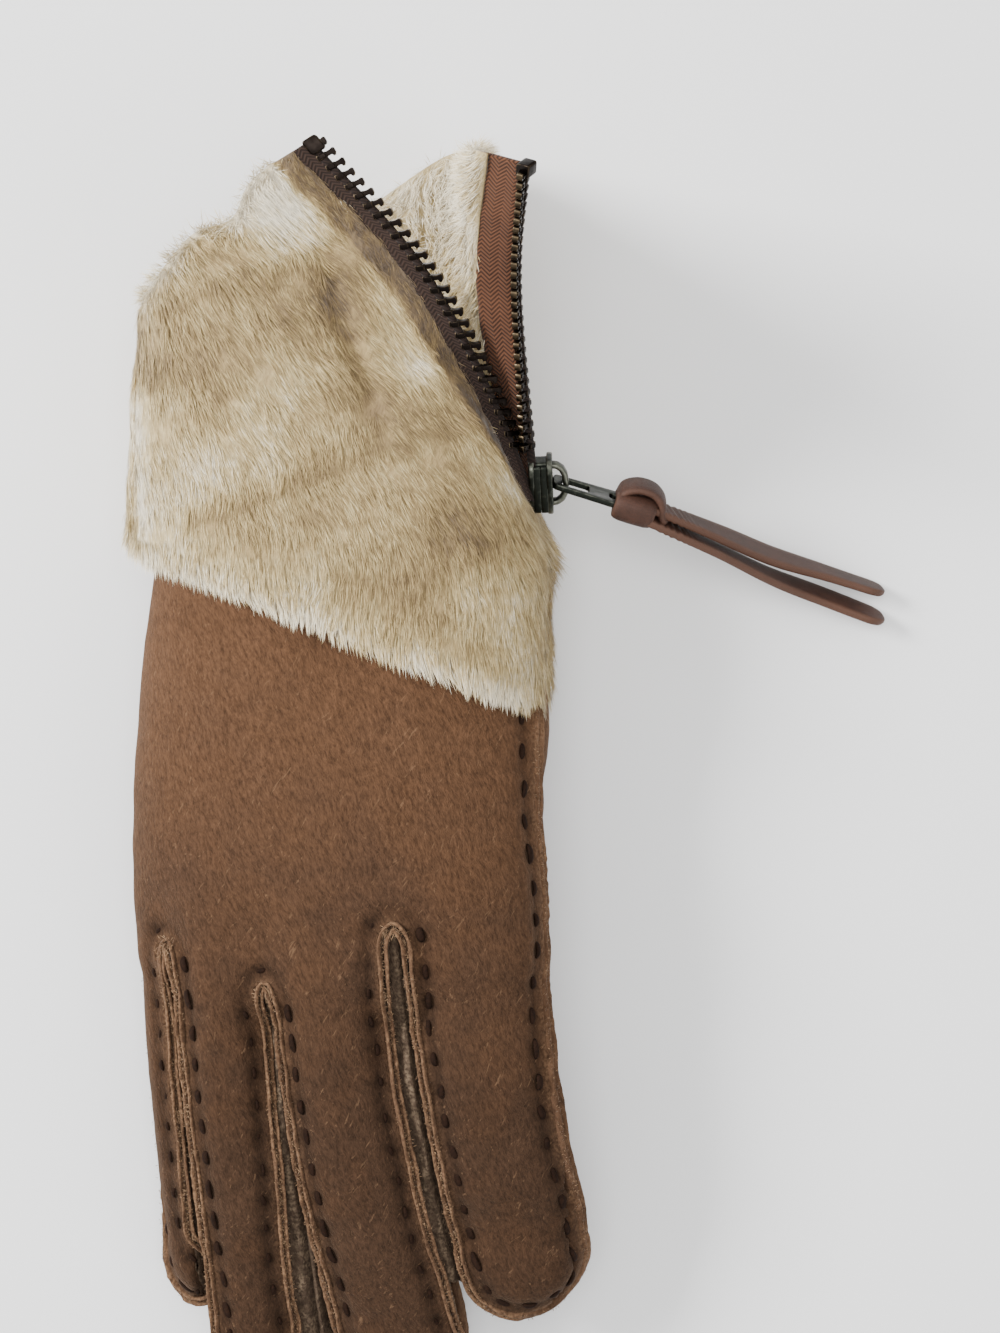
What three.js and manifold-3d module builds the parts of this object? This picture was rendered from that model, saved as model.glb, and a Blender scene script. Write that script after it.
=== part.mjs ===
// A right-hand dress glove of sheepskin, lying with its back up on a floor at z = 0.
// Millimetres, +Z up. +Y points from the fingers to the cuff, +X to the index finger's side.
// The origin is on the floor, under the flat heel of the palm.
import * as THREE from 'three';
import Module from 'manifold-3d';
import { mergeVertices } from 'three/addons/utils/BufferGeometryUtils.js';

const wasm = await Module();
wasm.setup();

// Driving dimensions.
const WALL = 2.8; // suede with its clipped wool lining
const GAP = 0.3; // clearance between neighbouring pieces
const SECTION_POWER = 2.4; // 2 is an ellipse, more is boxier
const HAND_SIDES = { outer: 18, inner: 12 };
const FINGER_SIDES = { outer: 12, inner: 8 };
const SLOPE = -0.39; // how far the cuff's lower edge moves along Y for each mm of X
const HEM_Y = 7.5; // where that edge crosses X = 0 on the back
const HEM_UNDER = 9; // how much further back it runs under the palm
const TUCK = 20; // how far the suede runs on under the cuff
const FAR = 90; // a reach beyond every part, for cutting solids

// Sections across the hand and each finger. x, z: centre. a, b: half width and half height.
// roll: degrees, index side up. dome: length of the rounded tip after the last row.
const HAND = {
  dome: 14,
  rows: [
    { y: 52, x: -0.5, z: 25.8, a: 36.5, b: 18.5, roll: 3 },
    { y: 26, x: -0.5, z: 25.3, a: 38, b: 18.8, roll: 3 },
    { y: 14, x: -0.4, z: 22.9, a: 40.2, b: 20.2, roll: 4 },
    { y: 5, x: 0, z: 20.2, a: 42.2, b: 21.7, roll: 5 },
    { y: -12, x: 0.2, z: 19.9, a: 44.1, b: 21.6, roll: 6.5 },
    { y: -28, x: -1.3, z: 22.6, a: 43.6, b: 19.5, roll: 9 },
    { y: -46, x: -1.6, z: 25, a: 43.4, b: 16, roll: 12 },
    { y: -60, x: -0.6, z: 26, a: 42.4, b: 12.2, roll: 12 },
  ],
};
const FINGERS = {
  little: {
    dome: 12.5,
    rows: [
      { y: -40, x: -33.8, z: 15.5, a: 8.6, b: 10.5, roll: 0 },
      { y: -60, x: -35.3, z: 14, a: 8.2, b: 10.6, roll: 0 },
      { y: -85, x: -34, z: 12.5, a: 8, b: 10.4, roll: 0 },
      { y: -110, x: -32.2, z: 11.2, a: 7.8, b: 10, roll: 0 },
      { y: -124, x: -30.9, z: 9.8, a: 7.4, b: 9.4, roll: 0 },
    ],
  },
  ring: {
    dome: 13,
    rows: [
      { y: -40, x: -25.2, z: 22, a: 10.5, b: 11, roll: 0 },
      { y: -60, x: -25, z: 22, a: 10.2, b: 11, roll: 0 },
      { y: -85, x: -23.6, z: 21, a: 9.8, b: 10.5, roll: 0 },
      { y: -110, x: -20.8, z: 18.5, a: 9.9, b: 10.2, roll: 0 },
      { y: -144, x: -19, z: 11, a: 9.2, b: 9.6, roll: 0 },
    ],
  },
  middle: {
    dome: 14,
    rows: [
      { y: -40, x: -3, z: 25.5, a: 13, b: 12, roll: 0 },
      { y: -60, x: -2.3, z: 26, a: 12.6, b: 11.4, roll: 0 },
      { y: -85, x: 0.4, z: 25.5, a: 12.8, b: 10.6, roll: 0 },
      { y: -110, x: 4.6, z: 22.5, a: 13.3, b: 10.2, roll: 0 },
      { y: -130, x: 9.8, z: 16.5, a: 14, b: 9.7, roll: 0 },
      { y: -150, x: 13.5, z: 10, a: 13.4, b: 9.4, roll: 0 },
    ],
  },
  index: {
    dome: 15,
    rows: [
      { y: -40, x: 27.5, z: 29.5, a: 13.8, b: 11.5, roll: 0 },
      { y: -60, x: 28, z: 29.4, a: 14.3, b: 11.4, roll: 0 },
      { y: -85, x: 30.6, z: 28, a: 14.9, b: 10.4, roll: 0 },
      { y: -110, x: 35, z: 23, a: 15, b: 10, roll: 0 },
      { y: -123, x: 37.4, z: 18, a: 14.2, b: 9.6, roll: 0 },
    ],
  },
};
const THUMB = {
  dome: 12,
  rows: [
    { y: -8, x: 29, z: 24, a: 9.5, b: 9, roll: 0 },
    { y: -20, x: 30.5, z: 15.5, a: 11.5, b: 9.6, roll: 0 },
    { y: -32, x: 31, z: 9.6, a: 12, b: 9.6, roll: 0 },
    { y: -50, x: 28.5, z: 8.2, a: 11.8, b: 8.6, roll: 0 },
    { y: -70, x: 24, z: 8.2, a: 11.3, b: 8.4, roll: 0 },
    { y: -84, x: 20.5, z: 8, a: 10.6, b: 8.2, roll: 0 },
  ],
};

// The slits between the fingers. x is where the slit's middle passes z; tilt leans its top to the left.
// slot: half width of the open slot. lip: half distance between its two raised lips.
const SLITS = [
  {
    name: 'fourchette_1', slot: 0.6, lip: 1.6,
    rows: [
      { y: -58, x: -30.6, z: 17.8, tilt: 34 },
      { y: -85, x: -29.1, z: 16.5, tilt: 39 },
      { y: -110, x: -26.9, z: 14.6, tilt: 33 },
      { y: -150, x: -27, z: 11, tilt: 20 },
    ],
  },
  {
    name: 'fourchette_2', slot: 0.8, lip: 2.2,
    rows: [
      { y: -66.5, x: -14.4, z: 25, tilt: 8 },
      { y: -85, x: -13.1, z: 25, tilt: 7 },
      { y: -110, x: -9.8, z: 22, tilt: 8 },
      { y: -135, x: -6.8, z: 16, tilt: 8 },
      { y: -175, x: -3, z: 12, tilt: 8 },
    ],
  },
  {
    name: 'fourchette_3', slot: 1.1, lip: 2.8,
    rows: [
      { y: -53.5, x: 11.6, z: 27, tilt: 0 },
      { y: -85, x: 14.4, z: 27, tilt: 0 },
      { y: -110, x: 19, z: 23, tilt: 0 },
      { y: -126, x: 23.4, z: 18, tilt: 0 },
      { y: -175, x: 36, z: 12, tilt: 0 },
    ],
  },
];
const SLIT_REACH = 25; // how far a slit's cutting solids reach up, down and sideways
const GUSSET = { high: 7.4, slant: 1.2, beyond: 0.5 }; // half height, its sloped ends, width past the wall
const CROTCH = WALL + 0.6; // how far a fourchette reaches into the hand past its slit's end
const LIP = { thick: 1.3, tall: 2.2, start: 1, end: -121, steps: 5, proud: 0.4 };
const PROBE = { reach: 26, step: 0.25 }; // the climb along a lip's up direction that finds the skin

// Height of the seam between back and palm on the little-finger side (left) and the index side (right),
// SEAM_SIDE to each side of the middle.
const SEAM_SIDE = 50;
const SEAM = [
  { y: 60, left: 12, right: 31 },
  { y: 0, left: 10, right: 33 },
  { y: -28, left: 8, right: 34.6 },
  { y: -60, left: 8, right: 34 },
  { y: -85, left: 7, right: 34 },
  { y: -110, left: 6, right: 29 },
  { y: -135, left: 4, right: 20 },
  { y: -180, left: 4, right: 16 },
];

// The cuff's middle surface, a row for each rib from the near zip edge over the back, round and up to
// the far zip edge. angle: its place on the ring at the slider. mid and rim: points at half height and top.
const CUFF_RING = { y: 31, x: -0.5, z: 26, a: 41.8, b: 21.6, roll: 4 };
const CUFF_HEM = { x: -0.8, z: 23.4, a: 43.4, b: 22.6, roll: 5 };
const CUFF_RIBS = [
  { angle: 1.5, mid: [20.5, 76.5, 53], rim: [-5, 105.7, 58] },
  { angle: 38, mid: [7, 75, 50.5], rim: [-17, 98, 57] },
  { angle: 72, mid: [-11, 68, 51], rim: [-29, 88.5, 50] },
  { angle: 115, mid: [-30, 61, 43], rim: [-37.5, 80.5, 39] },
  { angle: 172, mid: [-41, 58, 30], rim: [-40, 78.5, 27] },
  { angle: 200, mid: [-39, 58, 16], rim: [-35, 81, 13] },
  { angle: 226, mid: [-27, 61, 6], rim: [-20, 87, 6] },
  { angle: 250, mid: [-9, 65, 3.8], rim: [-4, 93.5, 3.8] },
  { angle: 272, mid: [9, 69, 3.8], rim: [11, 100, 4] },
  { angle: 294, mid: [24, 73, 6.5], rim: [23, 106, 8] },
  { angle: 322, mid: [31, 75, 18], rim: [28.5, 107.5, 22] },
  { angle: 337, mid: [31.5, 76, 36], rim: [29.5, 105, 50] },
  { angle: 346, mid: [29.5, 76, 53], rim: [29, 100.5, 79] },
  { angle: 358.5, mid: [37, 75, 59], rim: [38.4, 96.5, 88] },
];
const CUFF_SPLIT = 4; // the rib where the back panel of the cuff meets the palm panel
const PANEL_SEAM = 0.016; // half the gap between the two cuff panels, in ribs
const CUFF_STEPS = { around: 2.5, hem: 5, lower: 5, upper: 5 }; // cells for each rib and each stretch
const PILE = { out: 4.6, in: 3.6, lock: 1.3, tip: 1.8, edge: 0.45 }; // wool outside and inside the skin
const WOOL_OPENS = [0.95, 1.2]; // where along v the wool draws back from the zip's tapes
const NEAR_TAPE = 4.4;
const FAR_TAPE = 7.8;
const TAPE_THICK = 1;
const TEETH = 29;
const TOOTH = { reach: 2.6, neck: 0.6, head: 0.85, thick: 1.4, first: 0.012, last: 0.985 };
const BEAD = 0.9; // half size of the cord that the teeth clamp
const ROW_START = 16.2; // the rows start this far along the zip edge, just above the slider
const ROW_STEPS = { edge: 30, bar: 10 };

// The slider's own frame: travel toward the open end, out of the cuff, and across.
const SLIDER = {
  at: [42.2, 38.5, 29.8],
  travel: [-0.04, 0.9, 0.43],
  out: [1, 0.03, 0.03],
  plate: { long: 12, wide: 8, thick: 1.2, corner: 2 },
  throat: 2.6,
  wedge: { long: 3.2, wide: 2.2, back: 2 },
  bridge: { long: 9.6, wide: 2.2, thick: 1.1, high: 2.4 },
  room: { margin: 0.5, out: 12 },
};
const SINK = 0.4; // how far pieces of one casting run into each other
const TAB = {
  rail: 1.1, thick: 1.3, wide: 6, slot: 7.2, plate: 16.5, corner: 1.4, lean: 20,
  eye: { wide: 2.6, long: 1.6, back: 4.6 },
};
const STRAP = {
  wide: 8, thick: 1.6, steps: 9, start: 14, knot: { long: 9, wide: 10.5, high: 6.4, corner: 2.4, back: 1.5 },
  apart: [1, 3.1], // half the distance between the two tails at the knot and at their ends
};
// The tails' way from the pivot: along X, along Y and along Z.
const STRAP_PATH = [
  { x: 14, y: -3.9, z: 0 },
  { x: 22, y: -7.2, z: -2.6 },
  { x: 34, y: -12, z: -9.5 },
  { x: 46, y: -16.9, z: -17.8 },
  { x: 58, y: -20.7, z: -24.3 },
  { x: 68, y: -24.2, z: -25.9 },
];

// Small geometry helpers.
const vec = (p) => new THREE.Vector3(...p);
const rad = THREE.MathUtils.degToRad;
const lerp = THREE.MathUtils.lerp;
const floorZ = (z, floor) => Math.max(z, floor);

// Catmull-Rom through four values.
function spline(p0, p1, p2, p3, t) {
  const m1 = (p2 - p0) / 2;
  const m2 = (p3 - p1) / 2;
  const t2 = t * t;
  const t3 = t2 * t;
  return (2 * t3 - 3 * t2 + 1) * p1 + (t3 - 2 * t2 + t) * m1 + (3 * t2 - 2 * t3) * p2 + (t3 - t2) * m2;
}

// A table's row at y, smooth along the rows, which run from high y to low y.
function rowAt(rows, y) {
  let i = 0;
  while (i < rows.length - 2 && y < rows[i + 1].y) i += 1;
  const t = THREE.MathUtils.clamp((rows[i].y - y) / (rows[i].y - rows[i + 1].y), 0, 1);
  const [a, b] = [rows[i], rows[i + 1]];
  const [before, after] = [rows[i - 1] ?? a, rows[i + 2] ?? b];
  const made = { y };
  for (const key of Object.keys(a)) {
    if (key !== 'y') made[key] = spline(before[key], a[key], b[key], after[key], t);
  }
  return made;
}

// One superellipse section across the hand, flattened where it meets the floor.
function sectionRing(s, inset, sides, floor) {
  const ring = [];
  const [c, r] = [Math.cos(rad(s.roll)), Math.sin(rad(s.roll))];
  for (let i = 0; i < sides; i += 1) {
    const angle = (i / sides) * Math.PI * 2;
    const [cx, sz] = [Math.cos(angle), Math.sin(angle)];
    const u = Math.sign(cx) * Math.abs(cx) ** (2 / SECTION_POWER) * Math.max(s.a - inset, 0.2);
    const w = Math.sign(sz) * Math.abs(sz) ** (2 / SECTION_POWER) * Math.max(s.b - inset, 0.2);
    ring.push(new THREE.Vector3(s.x + u * c - w * r, s.y, floorZ(s.z + u * r + w * c, floor)));
  }
  return ring;
}

// A closed solid through rings of equal count, its ends closed by fans.
function loft(rings) {
  const sides = rings[0].length;
  const points = [];
  rings.forEach((ring) => ring.forEach((p) => points.push(p.x, p.y, p.z)));
  const faces = [];
  for (let k = 0; k + 1 < rings.length; k += 1) {
    for (let i = 0; i < sides; i += 1) {
      const [a, b] = [k * sides + i, k * sides + ((i + 1) % sides)];
      faces.push(a, b, a + sides, b, b + sides, a + sides);
    }
  }
  [0, rings.length - 1].forEach((k, end) => {
    const middle = new THREE.Vector3();
    rings[k].forEach((p) => middle.addScaledVector(p, 1 / sides));
    const hub = points.length / 3;
    points.push(middle.x, middle.y, middle.z);
    for (let i = 0; i < sides; i += 1) {
      const [a, b] = [k * sides + i, k * sides + ((i + 1) % sides)];
      faces.push(...(end ? [a, b, hub] : [b, a, hub]));
    }
  });
  return solidFrom(points, faces);
}

function solidFrom(points, faces) {
  const mesh = () => new wasm.Mesh({
    numProp: 3,
    vertProperties: new Float32Array(points),
    triVerts: new Uint32Array(faces),
  });
  const made = new wasm.Manifold(mesh());
  if (made.volume() > 0) return made;
  for (let i = 0; i < faces.length; i += 3) [faces[i], faces[i + 1]] = [faces[i + 1], faces[i]];
  return new wasm.Manifold(mesh());
}

function solidOf(geometry) {
  const bare = geometry.clone();
  bare.deleteAttribute('normal');
  bare.deleteAttribute('uv');
  const merged = mergeVertices(bare, 1e-4);
  return solidFrom([...merged.attributes.position.array], [...merged.index.array]);
}

const union = (parts) => wasm.Manifold.union(parts);

// The largest body of a cut solid, without slivers.
function mainBody(solid) {
  const bodies = solid.decompose();
  return bodies.reduce((best, one) => (one.volume() > best.volume() ? one : best));
}

// The hand, the fingers and the thumb: one tube each, closed by a dome at its tip.
const DOME = [34, 66]; // degrees round the tip

function tube(form, { inset = 0, grow = 0, counts = FINGER_SIDES }) {
  const by = inset - grow;
  const floor = inset;
  const sides = inset > 0 ? counts.inner : counts.outer;
  const rings = form.rows.map((row) => sectionRing(row, by, sides, floor));
  const end = form.rows[form.rows.length - 1];
  for (const degrees of DOME) {
    const [reach, share] = [Math.sin(rad(degrees)), Math.cos(rad(degrees))];
    const row = { ...end, y: end.y - (form.dome - by) * reach };
    row.a = (end.a - by) * share + by;
    row.b = (end.b - by) * share + by;
    rings.push(sectionRing(row, by, sides, floor));
  }
  return loft(rings);
}

// A wedge or blade along a slit: each outline point is [across, up] in the slit's own frame.
function slitLoft(slit, outline, start) {
  const places = slit.rows.map((row, i) => row.y + (i === 0 ? start : 0));
  return loft(places.map((y) => {
    const row = rowAt(slit.rows, y);
    const [c, s] = [Math.cos(rad(row.tilt)), Math.sin(rad(row.tilt))];
    return outline.map(([d, h]) => new THREE.Vector3(row.x + d * c - h * s, y, row.z + d * s + h * c));
  }));
}

// A rectangle from one distance across to another, as tall as the cutting solids reach.
function bladeOutline(from, to) {
  return [[from, -SLIT_REACH], [to, -SLIT_REACH], [to, SLIT_REACH], [from, SLIT_REACH]];
}

// A fourchette's region: narrow between the lips at the skin, wide below it.
function gussetOutline(slit, shrink) {
  const narrow = slit.lip - shrink;
  const wide = slit.slot + WALL + GUSSET.beyond - shrink;
  const high = GUSSET.high - shrink;
  const neck = high + GUSSET.slant;
  return [
    [-narrow, -SLIT_REACH], [narrow, -SLIT_REACH], [narrow, -neck], [wide, -high], [wide, high],
    [narrow, neck], [narrow, SLIT_REACH], [-narrow, SLIT_REACH], [-narrow, neck], [-wide, high],
    [-wide, -high], [-narrow, -neck],
  ];
}

// Everything on the fingers' side of a line parallel to the cuff's lower edge.
function belowHem(offset) {
  const edge = (x) => HEM_Y + offset + SLOPE * x;
  const ring = (z) => [[-FAR, -2 * FAR], [FAR, -2 * FAR], [FAR, edge(FAR)], [-FAR, edge(-FAR)]]
    .map(([x, y]) => new THREE.Vector3(x, y, z));
  return loft([ring(-FAR), ring(FAR)]);
}

// Everything above the seam between back and palm, raised by lift.
function aboveSeam(lift) {
  const slopeOf = (row) => (row.right - row.left) / (2 * SEAM_SIDE);
  return loft(SEAM.map((row) => {
    const at = (x) => row.left + slopeOf(row) * (x + SEAM_SIDE) + lift;
    return [[-FAR, at(-FAR)], [FAR, at(FAR)], [FAR, 2 * FAR], [-FAR, 2 * FAR]]
      .map(([x, z]) => new THREE.Vector3(x, row.y, z));
  }));
}

const FORMS = Object.values(FINGERS);

// Everything beyond a slit's face, on the side of it (-1 left, 1 right) where a finger has to stop.
function beyondSlit(slit, side, half, start) {
  return slitLoft(slit, bladeOutline(half, SLIT_REACH).map(([d, h]) => [side * d, h]), start);
}

// The hand and its fingers as one solid, each finger stopped at the faces of its slits.
function handSolid(inset) {
  const start = inset;
  const fingers = FORMS.map((form, i) => {
    const stops = [];
    if (i > 0) stops.push(beyondSlit(SLITS[i - 1], -1, -SLITS[i - 1].slot - inset, start));
    if (i < SLITS.length) stops.push(beyondSlit(SLITS[i], 1, -SLITS[i].slot - inset, start));
    return tube(form, { inset }).subtract(union(stops));
  });
  const slots = SLITS.map((slit) => {
    const half = slit.slot + inset;
    return slitLoft(slit, bladeOutline(-half, half), start);
  });
  return union([tube(HAND, { inset, counts: HAND_SIDES }).subtract(union(slots)), ...fingers]);
}

const cavity = handSolid(WALL);
const skin = handSolid(0).subtract(cavity).intersect(belowHem(TUCK));

// The thumb's own tube ends at the palm's skin, and the palm is cut open where it joins.
function makeThumb() {
  const outer = tube(THUMB, {});
  const inner = tube(THUMB, { inset: WALL });
  const hand = union([
    tube(HAND, { grow: GAP, counts: HAND_SIDES }),
    ...FORMS.map((form) => tube(form, { grow: GAP })),
  ]);
  return { shell: mainBody(outer.subtract(inner).subtract(hand)), inner };
}
const thumbTube = makeThumb();

// Height of the skin over a point, from the same sections.
function skinTop(x, y) {
  const heights = [HAND, ...FORMS].map((form) => {
    const last = form.rows[form.rows.length - 1];
    const over = Math.max(0, last.y - y) / form.dome;
    if (over >= 1) return -Infinity;
    const row = rowAt(form.rows, Math.max(y, last.y));
    const share = Math.sqrt(1 - over * over);
    const across = (x - row.x) / (row.a * share * Math.cos(rad(row.roll)));
    if (Math.abs(across) >= 1) return -Infinity;
    const up = row.b * share * (1 - Math.abs(across) ** SECTION_POWER) ** (1 / SECTION_POWER);
    return row.z + (x - row.x) * Math.sin(rad(row.roll)) + up;
  });
  return Math.max(...heights);
}

// A bar with a rectangular section along points, each with its own across and up directions.
function bar(frames, halfAcross, halfUp) {
  const corners = [[-1, -1], [1, -1], [1, 1], [-1, 1]];
  return loft(frames.map(({ at, across, up }) => corners.map(([i, j]) => at.clone()
    .addScaledVector(across, i * halfAcross)
    .addScaledVector(up, j * halfUp))));
}

// The raised lip of an outseam: a bar that stands on the skin beside a slit.
function lipBar(slit, side) {
  const frames = [];
  const reach = slit.lip + GAP + LIP.thick / 2;
  for (let i = 0; i <= LIP.steps; i += 1) {
    const y = lerp(slit.rows[0].y - LIP.start, LIP.end, i / LIP.steps);
    const row = rowAt(slit.rows, y);
    const tilt = rad(row.tilt);
    const up = new THREE.Vector3(-Math.sin(tilt), 0, Math.cos(tilt));
    const across = new THREE.Vector3(Math.cos(tilt), 0, Math.sin(tilt));
    const at = new THREE.Vector3(row.x, y, row.z).addScaledVector(across, side * reach);
    let high = 0;
    for (let h = 0; h < PROBE.reach; h += PROBE.step) {
      const x = at.x + up.x * h;
      if (skinTop(x, y) > at.z + up.z * h) high = h;
    }
    frames.push({ at: at.addScaledVector(up, high + LIP.proud), across, up });
  }
  return bar(frames, LIP.thick / 2, LIP.tall / 2);
}

function makePanels() {
  const wide = union(SLITS.map((slit) => slitLoft(slit, gussetOutline(slit, -GAP / 2), CROTCH)));
  const panels = skin.subtract(wide);
  const lips = union(SLITS.flatMap((slit) => [-1, 1].map((side) => lipBar(slit, side))));
  const back = union([panels.intersect(aboveSeam(GAP / 2)), lips]).subtract(wide);
  const palm = panels.subtract(aboveSeam(-GAP / 2)).subtract(thumbTube.inner);
  return { back: mainBody(back), palm: mainBody(palm) };
}

function makeFourchettes() {
  return SLITS.map((slit) => {
    const region = slitLoft(slit, gussetOutline(slit, GAP / 2), CROTCH - GAP);
    return [slit.name, mainBody(skin.intersect(region))];
  });
}

// The cuff's middle surface: u runs round the ribs, v from the lower edge (0) by the slider (1) and
// half height (2) to the rim (3).
function ringPoint(ring, degrees, y) {
  const [cx, sz] = [Math.cos(rad(degrees)), Math.sin(rad(degrees))];
  const u = Math.sign(cx) * Math.abs(cx) ** (2 / SECTION_POWER) * ring.a;
  const w = Math.sign(sz) * Math.abs(sz) ** (2 / SECTION_POWER) * ring.b;
  const [c, s] = [Math.cos(rad(ring.roll)), Math.sin(rad(ring.roll))];
  const x = ring.x + u * c - w * s;
  const hem = HEM_Y + SLOPE * x + HEM_UNDER * Math.max(0, -sz);
  return new THREE.Vector3(x, y ?? hem, ring.z + u * s + w * c);
}

// Below the slider the two zip edges close to a seam, so the first and last ribs end beside each other.
const SEAM_ANGLE = 0.6;
const HEM_ANGLES = { 0: SEAM_ANGLE, [CUFF_RIBS.length - 1]: 360 - SEAM_ANGLE };

const RIB_POINTS = CUFF_RIBS.map((rib, i) => [
  ringPoint(CUFF_HEM, HEM_ANGLES[i] ?? rib.angle),
  ringPoint(CUFF_RING, rib.angle, CUFF_RING.y),
  vec(rib.mid),
  vec(rib.rim),
]);

function splinePoint(points, t) {
  const i = Math.min(Math.floor(t), points.length - 2);
  const [p1, p2] = [points[i], points[i + 1]];
  const p0 = points[i - 1] ?? p1.clone().multiplyScalar(2).sub(p2);
  const p3 = points[i + 2] ?? p2.clone().multiplyScalar(2).sub(p1);
  const at = (axis) => spline(p0[axis], p1[axis], p2[axis], p3[axis], t - i);
  return new THREE.Vector3(at('x'), at('y'), at('z'));
}

const cuffPoint = (u, v) => splinePoint(RIB_POINTS.map((rib) => splinePoint(rib, v)), u);

function cuffNormal(u, v) {
  const d = 0.02; // a small step along each direction
  const last = RIB_POINTS.length - 1;
  const [u0, u1] = [Math.max(u - d, 0), Math.min(u + d, last)];
  const [v0, v1] = [Math.max(v - d, 0), Math.min(v + d, 3)];
  const along = cuffPoint(u, v1).sub(cuffPoint(u, v0));
  const round = cuffPoint(u1, v).sub(cuffPoint(u0, v));
  return along.cross(round).normalize();
}

// How far in from a zip edge the wool starts, in ribs, leaving the tape bare above the slider.
function woolStart(v, width, edge, next) {
  const rib = cuffPoint(edge, v).distanceTo(cuffPoint(next, v));
  const open = THREE.MathUtils.smoothstep(v, ...WOOL_OPENS);
  return lerp(GAP, width, open) / rib;
}

// One panel of the cuff from rib `from` to rib `to`, with the pile's locks on its outer face.
function cuffPanel(from, to) {
  const last = RIB_POINTS.length - 1;
  const columns = Math.round((to - from) * CUFF_STEPS.around);
  const vs = [];
  [CUFF_STEPS.hem, CUFF_STEPS.lower, CUFF_STEPS.upper].forEach((steps, k) => {
    for (let i = 0; i < steps; i += 1) vs.push(k + i / steps);
  });
  vs.push(3);
  const outer = [];
  const inner = [];
  vs.forEach((v, row) => {
    const start = from === 0 ? woolStart(v, NEAR_TAPE, 0, 1) : from + PANEL_SEAM;
    const stop = to === last ? last - woolStart(v, FAR_TAPE, last, last - 1) : to - PANEL_SEAM;
    for (let i = 0; i <= columns; i += 1) {
      const u = lerp(start, stop, i / columns);
      const [at, normal] = [cuffPoint(u, v), cuffNormal(u, v)];
      const fade = edgeFade(i, columns, from === 0, to === last) * edgeFade(row, vs.length - 1, true, true);
      const lock = ((i + 2 * row) % 3) / 2;
      const out = (PILE.out - PILE.lock * lock) * fade;
      const tip = row === 0 && i % 2 ? -PILE.tip : 0;
      const face = at.clone().addScaledVector(normal, out);
      outer.push(new THREE.Vector3(face.x, face.y + tip, floorZ(face.z, 0)));
      const back = at.clone().addScaledVector(normal, -PILE.in * fade);
      inner.push(new THREE.Vector3(back.x, back.y, floorZ(back.z, WALL)));
    }
  });
  return sheet(outer, inner, columns + 1, vs.length);
}

// Thinner at a free edge, full one cell in from it.
function edgeFade(i, last, first, end) {
  return (first && i === 0) || (end && i === last) ? PILE.edge : 1;
}

// A closed solid between two grids of points.
function sheet(outer, inner, columns, rows) {
  const points = [...outer, ...inner].flatMap((p) => [p.x, p.y, p.z]);
  const back = outer.length;
  const at = (i, j) => j * columns + i;
  const faces = [];
  for (let j = 0; j + 1 < rows; j += 1) {
    for (let i = 0; i + 1 < columns; i += 1) {
      const [a, b, c, d] = [at(i, j), at(i + 1, j), at(i + 1, j + 1), at(i, j + 1)];
      faces.push(a, b, c, a, c, d);
      faces.push(back + a, back + c, back + b, back + a, back + d, back + c);
    }
  }
  const rim = [];
  for (let i = 0; i + 1 < columns; i += 1) rim.push(at(i, 0));
  for (let j = 0; j + 1 < rows; j += 1) rim.push(at(columns - 1, j));
  for (let i = columns - 1; i > 0; i -= 1) rim.push(at(i, rows - 1));
  for (let j = rows - 1; j > 0; j -= 1) rim.push(at(0, j));
  rim.forEach((a, k) => {
    const b = rim[(k + 1) % rim.length];
    faces.push(b, a, back + a, b, back + a, back + b);
  });
  return solidFrom(points, faces);
}

// The slider's frame as three unit vectors.
const travel = vec(SLIDER.travel).normalize();
const outward = vec(SLIDER.out).addScaledVector(travel, -vec(SLIDER.out).dot(travel)).normalize();
const across = new THREE.Vector3().crossVectors(travel, outward);
const sliderAt = vec(SLIDER.at);
const sliderFrame = new THREE.Matrix4().makeBasis(across, travel, outward).setPosition(sliderAt);

const boxAt = (sx, sy, sz, x, y, z) => new THREE.BoxGeometry(sx, sy, sz).translate(x, y, z);

// A plate with rounded corners, extruded along its own z from z0.
function plate(wide, long, thick, round, z0) {
  const [w, l] = [wide / 2, long / 2];
  const shape = new THREE.Shape();
  shape.moveTo(-w + round, -l);
  shape.lineTo(w - round, -l);
  shape.absarc(w - round, -l + round, round, -Math.PI / 2, 0);
  shape.lineTo(w, l - round);
  shape.absarc(w - round, l - round, round, 0, Math.PI / 2);
  shape.lineTo(-w + round, l);
  shape.absarc(-w + round, l - round, round, Math.PI / 2, Math.PI);
  shape.lineTo(-w, -l + round);
  shape.absarc(-w + round, -l + round, round, Math.PI, Math.PI * 1.5);
  return new THREE.ExtrudeGeometry(shape, { depth: thick, bevelEnabled: false, curveSegments: 2 })
    .translate(0, 0, z0);
}

// Two plates joined by a wedge, with a bridge over the outer plate. x across, y travel, z outward.
function makeSlider() {
  const { plate: p, throat, wedge, bridge: g } = SLIDER;
  const top = throat / 2 + p.thick;
  const post = (side) => {
    const y = side * (g.long - g.thick) / 2;
    return boxAt(g.wide, g.thick, g.high + SINK, 0, y, top + g.high / 2);
  };
  const parts = [
    plate(p.wide, p.long, p.thick, p.corner, throat / 2),
    plate(p.wide, p.long, p.thick, p.corner, -throat / 2 - p.thick),
    boxAt(wedge.wide, wedge.long, throat + SINK, 0, p.long / 2 - wedge.back, 0),
    boxAt(g.wide, g.long, g.thick, 0, 0, top + g.high + g.thick / 2),
    post(1),
    post(-1),
  ];
  return union(parts.map(solidOf)).transform(sliderFrame.elements);
}

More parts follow.
